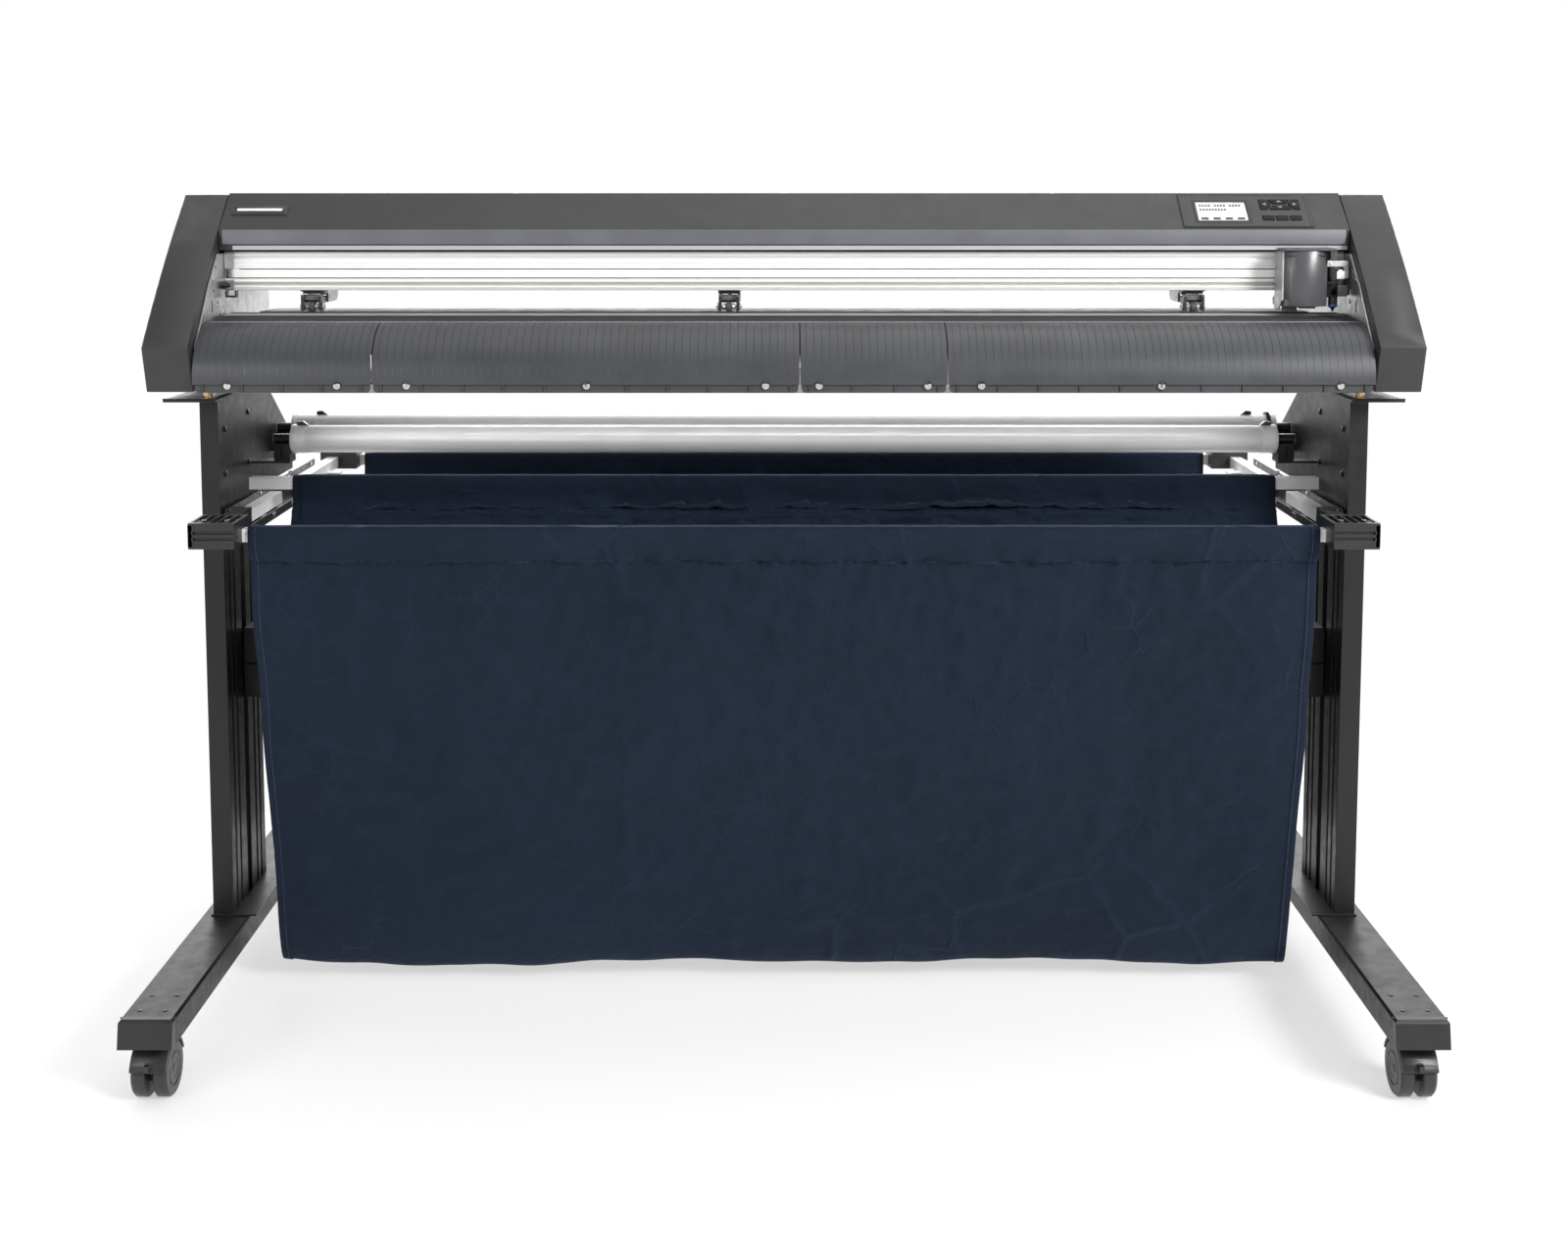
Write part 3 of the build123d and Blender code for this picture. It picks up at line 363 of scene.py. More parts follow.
def cad(node):
    """The corners of a CAD node's box, in millimetres from the leg plane."""
    lo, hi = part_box(node)
    shift = Vector((0, LEG_PLANE_Y, 0))
    return Vector(lo) / MM - shift, Vector(hi) / MM - shift


def middle(node):
    """The middle of a CAD node's box, in millimetres from the leg plane."""
    lo, hi = cad(node)
    return (lo + hi) / 2


def put(axis, along, across):
    """A point at a distance along one axis, with the other two coordinates in X, Y, Z order."""
    point = list(across)
    point.insert("XYZ".index(axis), along)
    return tuple(point)


def new_object(name, data, look):
    data.materials.append(look)
    made = bpy.data.objects.new(name, data)
    bpy.context.collection.objects.link(made)
    return made


def shade(thing, limit=SHARP_ANGLE):
    """Smooth shading that stays sharp at edges steeper than a limit."""
    mesh = bmesh.new()
    mesh.from_mesh(thing.data)
    for face in mesh.faces:
        face.smooth = True
    for edge in mesh.edges:
        edge.smooth = len(edge.link_faces) == 2 and edge.calc_face_angle(0) < limit
    mesh.to_mesh(thing.data)
    mesh.free()


def round_edges(thing, width):
    """Small rounded edges that catch the light, on a new piece or a CAD node."""
    if thing.name not in nodes:
        for face in thing.data.polygons:
            face.use_smooth = True
    weld = thing.modifiers.new("weld", "WELD")
    weld.merge_threshold = 0.00001
    bevel = thing.modifiers.new("bevel", "BEVEL")
    bevel.width = width
    bevel.segments = 2
    bevel.limit_method = "ANGLE"
    bevel.angle_limit = SHARP_ANGLE
    bevel.harden_normals = True


# ---- CAD nodes -----------------------------------------------------------------------------------
EDGE_WIDTHS = {"legs": 0.0012, "feet": 0.001, "foot_caps": 0.001, "cross_beam": 0.001, "top_cover": 0.001,
               "drive_belt": 0.0002, "lcd_screen": 0.0003}
DEFAULT_EDGE = 0.0004
NODE_LOOKS = {"carriage_cover": CARRIAGE_LOOK}


def dress_frame():
    """Give every CAD node the look of its slot, and small rounded edges."""
    for part in frame["record"]["subparts"]:
        node = nodes[part["node"]]
        for slot in node.material_slots:
            slot.link = "OBJECT"
            slot.material = NODE_LOOKS.get(part["node"], LOOKS[part["material_slot"]])
        round_edges(node, EDGE_WIDTHS.get(part["node"], DEFAULT_EDGE))


# ---- camera, light and floor ---------------------------------------------------------------------
CAMERA_PLACE = Vector((0.0, -2.5685, 1.0804))
CAMERA_LENS = 42.97
CAMERA_SHIFT = -0.175
CAMERA_PITCH = 5.09


def add_camera():
    """The viewing angle of a person standing in front, with the lens axis a little below level."""
    data = bpy.data.cameras.new("camera")
    data.lens = CAMERA_LENS
    data.sensor_width = 36
    data.shift_y = CAMERA_SHIFT
    camera = bpy.data.objects.new("camera", data)
    camera.location = CAMERA_PLACE
    camera.rotation_euler = (math.radians(90 - CAMERA_PITCH), 0, 0)
    bpy.context.collection.objects.link(camera)
    bpy.context.scene.camera = camera


def add_softbox(name, place, target, size, power, spread=180):
    """A rectangular studio light that points at a target, kept out of the picture itself."""
    data = bpy.data.lights.new(name, "AREA")
    data.shape = "RECTANGLE"
    data.size, data.size_y = size
    data.energy = power
    data.spread = math.radians(spread)
    light = bpy.data.objects.new(name, data)
    light.location = place
    light.rotation_euler = (Vector(target) - Vector(place)).to_track_quat("-Z", "Y").to_euler()
    light.visible_camera = False
    bpy.context.collection.objects.link(light)


def add_surround():
    """A white studio: bright overhead and behind the machine, dimmer behind the camera."""
    world = bpy.data.worlds.new("studio")
    bpy.context.scene.world = world
    world.use_nodes = True
    tree = world.node_tree
    back = tree.nodes["Background"]
    direction = tree.nodes.new("ShaderNodeTexCoord")
    split = tree.nodes.new("ShaderNodeSeparateXYZ")
    ramp = tree.nodes.new("ShaderNodeMapRange")
    seen = tree.nodes.new("ShaderNodeLightPath")
    mix = tree.nodes.new("ShaderNodeMix")
    tree.links.new(direction.outputs["Generated"], split.inputs["Vector"])
    tree.links.new(split.outputs["Y"], ramp.inputs["Value"])
    for socket, value in (("From Min", -0.2), ("From Max", 0.9), ("To Min", 0.24), ("To Max", 1.8)):
        ramp.inputs[socket].default_value = value
    tree.links.new(seen.outputs["Is Camera Ray"], mix.inputs["Factor"])
    tree.links.new(ramp.outputs["Result"], mix.inputs["A"])
    mix.inputs["B"].default_value = 1.0
    tree.links.new(mix.outputs["Result"], back.inputs["Strength"])
    back.inputs["Color"].default_value = (1, 1, 1, 1)


def floor_look():
    """Matt white that turns into plain white far from the machine, so that no horizon is seen."""
    paint = Paint("floor_look", (0.94, 0.94, 0.94), 0.8)
    length = paint.node("ShaderNodeVectorMath", operation="LENGTH")
    paint.link(paint.place(), length.inputs[0])
    far = paint.between(length.outputs["Value"], 0.5, 1.0, 0.9, 2.6)
    glow = paint.node("ShaderNodeEmission")
    mix = paint.node("ShaderNodeMixShader")
    paint.link(far, mix.inputs["Fac"])
    paint.link(paint.shader.outputs["BSDF"], mix.inputs[1])
    paint.link(glow.outputs["Emission"], mix.inputs[2])
    paint.link(mix.outputs["Shader"], paint.tree.nodes["Material Output"].inputs["Surface"])
    return paint.material


def add_studio():
    """A pale floor, the surround and the soft lights."""
    add_surround()
    add_softbox("overhead", (0.4, -0.4, 3.2), (0, 0, 0.6), (3.2, 2.2), 30)
    add_softbox("back", (0.0, 2.8, 1.9), (0, 0.1, 0.75), (3.2, 1.2), 60)
    add_softbox("front_right", (2.6, -2.7, 2.4), (0, 0, 0.7), (1.2, 1.2), 165)
    add_softbox("roller_fill", (0, -0.04, 0.818), (0, 0.03, 0.735), (1.3, 0.05), 0.55, 120)
    add_softbox("front_left", (-2.4, -3.0, 1.8), (0, 0, 0.6), (1.4, 1.4), 38)
    bpy.ops.mesh.primitive_plane_add(size=60)
    floor = bpy.context.object
    floor.name = "floor"
    floor.data.materials.append(floor_look())
    bpy.context.scene.view_settings.view_transform = "Standard"


# ---- cloth ---------------------------------------------------------------------------------------
SEAM_DROP = 57.0
CLOTH_HALF = 680.0
CLOTH_THICKNESS = 0.0007
HEM = 11.6
CURVE_STEPS = 14
# The (y, z) points of each pocket's section, from the inside of its first sleeve round the bottom.
FRONT_PATH = [
    (-153.5, 603), (-150.5, 612), (-146.6, 626), (-145.8, 640), (-147.0, 647.6), (-156.5, 649.2),
    (-166.5, 647.6), (-168.1, 640), (-167.4, 627), (-160, 612), (-155, 604), (-153, 590), (-149, 517),
    (-131, 431), (-120, 346), (-96, 248), (-78, 157), (-69, 96), (-57, 46), (-46, 30), (-36, 46),
    (-31, 200), (-21, 384), (-13, 480),
    (10, 560), (40, 626), (44, 635), (50, 650), (51.4, 670), (52.8, 679), (62, 680.6), (71.6, 679),
    (72.6, 670), (71.5, 655), (60, 643), (47, 634),
]
REAR_PATH = [
    (46, 632), (62, 560), (58, 440), (84, 260), (150, 160), (225, 140), (300, 175), (400, 380), (470, 560),
    (488, 600), (494.6, 626), (495.2, 640), (496.5, 647.6), (505, 649.2), (514, 647.6), (515.4, 640),
    (514.6, 626), (503, 606), (491, 601),
]


def smooth_path(points):
    """A Catmull-Rom curve through (y, z) points."""
    ends = [points[0]] + points + [points[-1]]
    curve = []
    for a, b, c, d in zip(ends, ends[1:], ends[2:], ends[3:]):
        for i in range(CURVE_STEPS):
            t = i / CURVE_STEPS
            t2, t3 = t * t, t ** 3
            weights = (-t + 2 * t2 - t3, 2 - 5 * t2 + 3 * t3, t + 4 * t2 - 3 * t3, t3 - t2)
            curve.append(tuple(sum(w * p[k] for w, p in zip(weights, (a, b, c, d))) / 2 for k in (0, 1)))
    return curve + [points[-1]]


def near(value, centre, width):
    """1 at the centre, falling smoothly to nothing over a few widths."""
    return math.exp(-((value - centre) / width) ** 2)


def ridge(x, y, seed):
    """Sharp-crested wrinkles, from 0 to 1."""
    return (1 - abs(noise.noise(Vector((x, y, seed))))) ** 4


class Pocket:
    """A sheet of cloth that follows a path and is as wide as the basket, with folds, hems and seams."""

    def __init__(self, path, bars, crease, seed):
        curve = smooth_path(path)
        self.curve = curve
        self.reach = [0.0]
        for a, b in zip(curve, curve[1:]):
            self.reach.append(self.reach[-1] + math.dist(a, b))
        self.length = self.reach[-1]
        self.bars = bars
        self.crease = crease
        self.seed = seed
        ends = [(bar + side * SEAM_DROP, -9 * side) for bar in bars for side in SIDES]
        ends = [end for end in ends if 8 < end[0] < self.length - 8]
        self.seams = [seam for seam, _ in ends]
        self.drops = [drop for _, drop in ends]

    def place(self, along):
        """The (y, z) point at a distance along the path, and the direction out of the pocket."""
        along = min(max(along, 0), self.length - 0.001)
        i = bisect.bisect_right(self.reach, along) - 1
        (y0, z0), (y1, z1) = self.curve[i], self.curve[i + 1]
        part = (along - self.reach[i]) / (self.reach[i + 1] - self.reach[i])
        step = math.dist((y0, z0), (y1, z1))
        return y0 + (y1 - y0) * part, z0 + (z1 - z0) * part, (z1 - z0) / step, (y0 - y1) / step

    def relief(self, x, along, z):
        """How far the cloth stands off its path: folds, wrinkles, hems, seams and puckers."""
        seed = self.seed
        folds = 4.2 * noise.noise(Vector((x / 210, along / 260, seed)))
        folds += 3.4 * noise.noise(Vector((x / 75, along / 120, seed + 3)))
        upper = near(z, 560, 90) * near(x, 60, 330)
        wrinkles = (4.2 + 4.0 * upper) * ridge(x / 70, along / 50 + x / 200, seed + 5)
        wrinkles += (3.0 + 2.4 * upper) * ridge(x / 31 + along / 90, along / 24, seed + 6)
        wrinkles += 1.5 * ridge((x + 0.7 * along) / 30, (along - 0.5 * x) / 80, seed + 8) * near(z, 618, 30)
        creases = -1.5 * near(along, self.crease, 3) + 1.4 * near(x, -10, 4) * near(z, 400, 220)
        bar = max(min(max((46 - abs(along - place)) / 16, 0), 1) for place in self.bars)
        edge = CLOTH_HALF - abs(x)
        calm = min(max((z - 45) / 110, 0), 1) * min(0.15 + edge / 70, 1)
        total = (folds + wrinkles * calm + creases) * (1 - 0.95 * bar)
        total += 1.0 * (edge < HEM) - 0.8 * near(edge, HEM - 2.4, 0.8)
        pull = 0.8 * math.sin(x / 2.1 + 2 * noise.noise(Vector((x / 30, 0, seed)))) * (1 - bar)
        for seam, drop in zip(self.seams, self.drops):
            total += pull * near(along, seam, 9) - 2.2 * near(along, seam, 2.2)
            total += 1.4 * near(along, seam + drop, 9)
        return total

    def point(self, x, along, lift=0.0):
        y, z, out_y, out_z = self.place(along)
        off = self.relief(x, along, z) + lift
        low = max(0.0, 1 - z / 200) ** 1.5
        sag = 7 * near(x, -500, 130) + 6 * near(x, 530, 140) - 6 * near(x, -680, 60) + 2 * math.sin(x / 90)
        return metres((x, y + out_y * off, z + out_z * off - low * sag))

    def rows(self):
        """Distances along the path: close together at seams and on the bars, further apart between them."""
        marks = [0.0]
        while marks[-1] < self.length:
            tight = max([near(marks[-1], seam, 12) for seam in self.seams]
                        + [0.8 * near(marks[-1], place, 26) for place in self.bars])
            marks.append(marks[-1] + 10.5 - 8.3 * tight)
        return marks[:-1] + [self.length]

    def columns(self):
        """Positions across the cloth: close together at the hems."""
        hem = [0, 2.5, 5, 7, 8.2, 9.2, 10.2, 11.4, 11.8, 14, 18]
        count = 236
        reach = CLOTH_HALF - 23
        inner = [-reach + 2 * reach * i / (count - 1) for i in range(count)]
        return [-CLOTH_HALF + d for d in hem] + inner + [CLOTH_HALF - d for d in hem[::-1]]

    def build(self, name):
        data = bpy.data.meshes.new(name)
        rows, columns = self.rows(), self.columns()
        points = [self.point(x, along) for along in rows for x in columns]
        wide = len(columns)
        faces = [(i * wide + j, i * wide + j + 1, (i + 1) * wide + j + 1, (i + 1) * wide + j)
                 for i in range(len(rows) - 1) for j in range(wide - 1)]
        data.from_pydata(points, [], faces)
        for face in data.polygons:
            face.use_smooth = True
        cloth = new_object(name, data, LOOKS["basket_navy"])
        solid = cloth.modifiers.new("thickness", "SOLIDIFY")
        solid.thickness = CLOTH_THICKNESS
        solid.offset = 1.0
        return cloth

    def stitches(self, name):
        """Short threads along the seams and the side hems."""
        mesh = bmesh.new()
        pitch, size = 4.4, 2.9
        for seam in self.seams:
            for i in range(int(2 * (CLOTH_HALF - 4) / pitch)):
                x = 4 - CLOTH_HALF + i * pitch
                self.thread(mesh, (x, seam), (x + size, seam))
        for side in SIDES:
            x = side * (CLOTH_HALF - HEM + 2.4)
            for i in range(int((self.length - 10) / pitch)):
                along = 5 + i * pitch
                self.thread(mesh, (x, along), (x, along + size))
        data = bpy.data.meshes.new(name)
        mesh.to_mesh(data)
        mesh.free()
        return new_object(name, data, THREAD_LOOK)

    def thread(self, mesh, start, end):
        """One stitch: a thin four-sided bar that dips into the cloth at both ends."""
        rows = []
        for part, lift in ((0, -0.1), (0.5, 0.75), (1, -0.1)):
            x = start[0] + (end[0] - start[0]) * part
            along = start[1] + (end[1] - start[1]) * part
            across = (0, 0.3) if end[0] != start[0] else (0.3, 0)
            ring = []
            for side, height in ((-1, 0), (1, 0), (1, 0.5), (-1, 0.5)):
                place = (x + side * across[0], along + side * across[1])
                ring.append(mesh.verts.new(self.point(*place, lift + height)))
            rows.append(ring)
        for low, high in zip(rows, rows[1:]):
            for i in range(4):
                j = (i + 1) % 4
                mesh.faces.new((low[i], low[j], high[j], high[i]))
        mesh.faces.new(rows[0][::-1])
        mesh.faces.new(rows[-1])


def reach_of(path, index):
    """The distance along a path to one of its points."""
    curve = smooth_path(path)
    return sum(math.dist(a, b) for a, b in zip(curve[:index * CURVE_STEPS], curve[1:]))


def hang(thing, first, second, start, end):
    """Bake the cloth's placement into its mesh. The two bodies and the two Y limits are not used."""
    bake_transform(thing)


def build_basket():
    """The cloth: a front pocket between the front and middle bars, and a rear one behind."""
    front_bars = [reach_of(FRONT_PATH, 5), reach_of(FRONT_PATH, 30)]
    front = Pocket(FRONT_PATH, front_bars, reach_of(FRONT_PATH, 15) + 50, 1.0)
    rear = Pocket(REAR_PATH, [reach_of(REAR_PATH, 13)], reach_of(REAR_PATH, 6), 20.0)
    for pocket, name, bodies, limits in (
        (front, "front_pocket", ("front_basket", "machine"), (-145, -30)),
        (rear, "rear_pocket", ("machine", "rear_basket"), (100, 480)),
    ):
        cloth = pocket.build(name)
        thread = pocket.stitches(name + "_stitches")
        hang(cloth, *bodies, *limits)
        hang(thread, *bodies, *limits)
        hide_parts("basket_cloth")


# ---- front apron and bed -------------------------------------------------------------------------
APRON_RADIUS = 71.0
APRON_THICKNESS = 2.4
APRON_SPLITS = (-516.0, 20.0, 205.0)
SCREW_NOTCH = 5.5
APRON_SHARP_ANGLE = math.radians(7)
GROOVE_PITCH = 10.0
GROOVE_DEPTH = 0.45


def apron_profile(centre_y, centre_z):
    """Points down the apron's section, with the groove depth at each: a quarter round, then a flat band."""
    rows = []
    count = 26
    for i in range(count + 1):
        angle = math.radians(91.5 + 88.5 * i / count)
        depth = GROOVE_DEPTH * min(1, i / 2, max(0.3, (count - 2 - i) / 9))
        y, z = centre_y + APRON_RADIUS * math.cos(angle), centre_z + APRON_RADIUS * math.sin(angle)
        rows.append((y, z, depth))
    rows.append((centre_y - APRON_RADIUS, centre_z - 1.2, 0))
    return rows


def groove_columns(x0, x1):
    """Positions along X with the share of groove depth at each, at an even pitch from the left."""
    offsets = ((-0.5, 0), (-0.3, 1), (0.3, 1), (0.5, 0), (2.6, 0), (5.0, 0), (7.4, 0))
    columns = [(x0, 0)]
    pitches = int((x1 - x0) // GROOVE_PITCH)
    start = x0 + ((x1 - x0) - (pitches - 1) * GROOVE_PITCH) / 2
    for i in range(pitches):
        middle = start + i * GROOVE_PITCH
        columns += [(middle + off, share) for off, share in offsets if middle + off < x1 - 1]
    return columns + [(x1, 0)]


def screw_positions():
    """The middle of each apron screw, from the CAD node's separate solids."""
    found = {}
    for vertex in nodes["apron_screws"].data.vertices:
        found.setdefault(round(vertex.co.x / 0.02), []).append(vertex.co.x / MM)
    groups = []
    for x in sorted(sum(found.values(), [])):
        if groups and x - groups[-1][-1] < 8:
            groups[-1].append(x)
        else:
            groups.append([x])
    return [(group[0] + group[-1]) / 2 for group in groups]


def build_apron():
    """The four grooved front panels with half-round notches over their screws."""
    lo, hi = cad("apron_panels")
    screw_z = middle("apron_screws").z
    screws = screw_positions()
    centre_y, centre_z = lo.y + APRON_RADIUS, hi.z - APRON_RADIUS
    profile = apron_profile(centre_y, centre_z)
    edges = (lo.x,) + APRON_SPLITS + (hi.x,)
    panels = []
    for number, (x0, x1) in enumerate(zip(edges, edges[1:])):
        columns = groove_columns(x0 + 0.8 * (number > 0), x1 - 0.8 * (number < 3))
        points = []
        for y, z, depth in profile:
            inward = Vector((0, centre_y - y, centre_z - z)).normalized()
            for x, share in columns:
                points.append(metres(Vector((x, y, z)) + inward * depth * share))
        for x, _ in columns:
            nearest = min((abs(x - s) for s in screws), default=99)
            rise = math.sqrt(max(0.0, SCREW_NOTCH ** 2 - nearest ** 2))
            points.append(metres((x, lo.y, max(centre_z - 2.4, screw_z + rise if rise else 0))))
        wide = len(columns)
        faces = [(i * wide + j, (i + 1) * wide + j, (i + 1) * wide + j + 1, i * wide + j + 1)
                 for i in range(len(points) // wide - 1) for j in range(wide - 1)]
        data = bpy.data.meshes.new("panel")
        data.from_pydata(points, [], faces)
        panels.append(new_object(f"apron_{number + 1}", data, LOOKS["apron_plastic"]))
    for panel in panels:
        shade(panel, APRON_SHARP_ANGLE)
        solid = panel.modifiers.new("thickness", "SOLIDIFY")
        solid.thickness = APRON_THICKNESS * MM
        solid.offset = -1.0
        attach(panel, "machine")
    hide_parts("apron_panels")
    build_skirt(edges, lo, screws)
    build_apron_trim(lo, hi)


def build_skirt(edges, lo, screws):
    """The recessed ribbed skirt under the panels' lower edges."""
    skirt = Build()
    face = lo.y + 4
    for x0, x1 in zip(edges, edges[1:]):
        outline = [(x0 + 2, 834), (x0 + 2, 827), (x0 + 3.3, 823.8), (x0 + 6.5, 822.5),
                   (x1 - 6.5, 822.5), (x1 - 3.3, 823.8), (x1 - 2, 827), (x1 - 2, 834)]
        skirt.prism("Y", outline, face, face + 2)
        skirt.box((x0 + 1, face - 1.5, 833), (x1 - 1, face + 8, 835))
        ribs = int((x1 - x0) // 50)
        for i in range(ribs + 1):
            x = x0 + 12 + i * (x1 - x0 - 24) / ribs
            skirt.box((x - 0.9, face - 2.4, 823.5), (x + 0.9, face + 1, 833.5))
    skirt.piece("apron_skirt", "apron_plastic")


def build_apron_trim(lo, hi):
    """A pale strip along the top edge, painted as the highlight on the platen's front edge; small black discs
    near it, painted as the shade in its holes; and a pale line in the left split, painted as light seen
    through the gap.
    """
    top_y = lo.y + APRON_RADIUS
    # Pale strips painted as light: a highlight along the apron's top edge, and light seen through the left
    # split.
    lines = Build().box((lo.x + 2, top_y - 1.2, hi.z - 0.6), (hi.x - 2, top_y + 1.0, hi.z + 0.35))
    lines.box((APRON_SPLITS[0] - 0.7, lo.y + 3, hi.z - 70), (APRON_SPLITS[0] + 0.7, lo.y + 4, hi.z - 36))
    lines.piece("apron_painted_highlights", STRIP_LOOK, bevel=0.0002)
    # Black discs painted as the shade inside the small holes.
    holes = Build()
    for x in (-454.5, -384, 494, 543):
        holes.turned("Z", (x, top_y - 8, 0), [(hi.z - 2, 1.2), (hi.z - 0.2, 1.2)], 16)
    holes.piece("apron_hole_shade", LOOKS["black_plastic"], bevel=0)


def build_bed():
    """The cutting strip, black strips painted as the shade in its grooves, and the fine ribs along the bed.
    """
    lo, hi = cad("platen")
    front_z, back_z = 906.5, hi.z
    depth = hi.y - lo.y

    def strip(build, y0, y1, height):
        slope = (back_z - front_z) / depth
        z0, z1 = front_z + (y0 - lo.y) * slope, front_z + (y1 - lo.y) * slope
        section = [(y0, z0 - 0.4), (y1, z1 - 0.4), (y1, z1 + height), (y0, z0 + height)]
        build.prism("X", section, lo.x + 4, hi.x - 4)

    pale = Build()
    strip(pale, -61, -46, 0.3)
    pale.piece("cutting_strip", STRIP_LOOK, bevel=0.0001)
    # Thin black strips, raised slightly, painted as the shade in the bed's grooves.
    dark = Build()
    strip(dark, -68, -62.4, 0.12)
    strip(dark, -87, -85.6, 0.12)
    dark.piece("bed_groove_shade", LOOKS["black_plastic"], bevel=0)
    ribs = Build()
    for y in (-110, -105, -100, -95, -80, -74):
        strip(ribs, y, y + 1.4, 0.35)
    ribs.piece("bed_ribs", "bed_plastic", bevel=0.0001)


# ---- top cover, fascia and rail ------------------------------------------------------------------
FRAME_INNER = 740.5


def build_fascia():
    """The facing of the top cover's front edge, in a lighter copy of the cover plastic that is painted light,
    the bright strip under it and the screws along the ridge.
    """
    lo, hi = cad("top_cover")
    front = lo.y
    outline = [(front - 0.9, 1004.2), (front + 0.2, 1003.4), (front + 0.2, 1023.6), (front - 0.5, 1023.4),
               (front - 0.9, 1022.6)]
    # The facing's lighter colour is painted light, from the front lamps and the floor's reflection.
    facing = Build().prism("X", outline, lo.x + 5, hi.x - 5)
    facing.piece("fascia", TRIM_LOOK, bevel=0.0003, slot="cover_plastic")
    ends = Build().box((lo.x + 0.3, front - 0.8, 1003), (lo.x + 4.6, front + 0.4, 1023.4)).mirrored()
    ends.piece("fascia_ends", LOOKS["black_plastic"])
    strip = Build().box((lo.x + 18, front + 1.0, 996.9), (hi.x - 3, front + 1.7, 1002.4))
    strip.box((lo.x + 18, front + 0.6, 1001.2), (hi.x - 3, front + 1.4, 1002.4))
    strip.piece("fascia_strip", LIGHT_STRIP_LOOK, bevel=0.0002)
    ridge = Build().screws("Z", [(x, 96, 1070) for x in (-371.5, 0, 371.5)], 3.4, 1.0, 1)
    ridge.piece("cover_screws", LOOKS["screw_steel"], bevel=0)


def build_rail():
    """Ribs, grey lips (the bottom one a painted shadow line), wipers and tape on the rail's face, the belt's
    teeth, and the parts at the rail's ends.
    """
    lo, hi = cad("y_rail")

    def bands(name, look, lows, proud, height):
        build = Build()
        for z in lows:
            build.box((lo.x + 1, lo.y - proud, z), (hi.x - 1, lo.y + 0.4, z + height))
        build.piece(name, look, bevel=0.0001)

    ribs = (973.3, 975.2, 981.2, 982.9, 989.4, 991.2, 946.2, 947.8, 954.2, 956.2)
    bands("rail_ribs", "rail_aluminium", ribs, 0.35, 0.7)
    # Grey lips along the rail's top and bottom edges, much darker than the rail; the bottom lip is a painted
    # shadow line under the rail.
    lips = Build().box((lo.x + 1, lo.y - 0.5, hi.z - 1.4), (hi.x - 1, lo.y + 2, hi.z + 0.3))
    lips.box((lo.x + 1, lo.y - 0.5, lo.z - 0.2), (hi.x - 1, lo.y + 2, lo.z + 1.3))
    lips.piece("rail_lips_and_shadow_line", LIGHT_STRIP_LOOK, bevel=0.0003)
    bands("rail_wipers", "wheel_plastic", (945.4, 958.4), 0.3, 1.0)
    bands("rail_tape", TAPE_LOOK, (950.4, 953.0), 0.3, 1.2)
    teeth = Build()
    belt_lo, belt_hi = cad("drive_belt")
    count, start, length = 140, -700, 1330
    for i in range(count):
        x = start + i * length / count
        teeth.box((x, belt_lo.y + 1.1, belt_lo.z + 1.6), (x + 3, belt_lo.y + 1.9, belt_hi.z - 1.6))
    teeth.piece("belt_teeth", "belt_rubber", bevel=0)
    plates = Build().box((-739.8, lo.y - 3.2, 944), (-727, lo.y - 0.6, 957))
    plates.box((-739.8, lo.y - 3.2, 973), (-727, lo.y - 0.6, 992)).mirrored()
    plates.piece("rail_end_plates", "frame_steel")
    knob = (0, -52, 950.5)
    fork = Build().turned("X", knob, [(-743, 2.6), (-742.6, 5.2), (-733, 5.4), (-732, 4.6)], 6)
    fork.turned("X", knob, [(-733, 3), (-728, 3)], 16)
    fork.box((-736, -50, 934), (-721, -40, 936.5)).box((-736, -50, 936), (-733.6, -40, 943))
    fork.box((-723.4, -50, 936), (-721, -40, 943))
    fork.piece("rail_end_fork", "black_plastic")
    lever = Build().prism("Y", [(-740, 911.5), (-737.5, 911.5), (-734, 917.6), (-736.6, 917.6)], -58, -55)
    lever.turned("Y", (-736, 0, 922.5), [(-58, 2.4), (-54, 2.4)], 16)
    lever.piece("sheet_lever", "screw_steel")


def build_side_frame_details():
    """Dark patches painted as the shade in the slots and holes of the side frames' inner faces, and screws on
    those faces.
    """
    out, deep = FRAME_INNER - 0.35, FRAME_INNER + 0.2
    # Dark patches on the zinc, painted as the shade inside slots and holes.
    slots = Build()
    for y, z, length in ((-92, 925, 16), (-118, 878, 12), (-140, 858, 9)):
        slots.box((out, y - 1.6, z - length / 2), (deep, y + 1.6, z + length / 2))
    for y, z in ((-84, 945), (-74, 975), (-100, 905), (-132, 880)):
        slots.turned("X", (0, y, z), [(out, 2.2), (deep, 2.2)], 18)
    slots.mirrored().piece("side_frame_hole_shade", LOOKS["bed_plastic"], bevel=0)
    places = [(FRAME_INNER, y, z) for y, z in ((-66, 930), (-90, 960), (-150, 866))]
    Build().screws("X", places, 2.9, 1.8, -1).mirrored().piece("side_frame_screws", "screw_steel", bevel=0)


# ---- control panel -------------------------------------------------------------------------------
# The (y, z) ends of the top cover's front slope.
SLOPE_TOP = Vector((5, 1071))
SLOPE_FOOT = Vector((-50, 1024))


def slope_place(x, down, height):
    """A point on the cover's slope: a distance down from the ridge and a height above the surface."""
    along = (SLOPE_FOOT - SLOPE_TOP).normalized()
    out = Vector((along.y, -along.x))
    point = SLOPE_TOP + along * down + out * height
    return Vector((x, point.x, point.y))


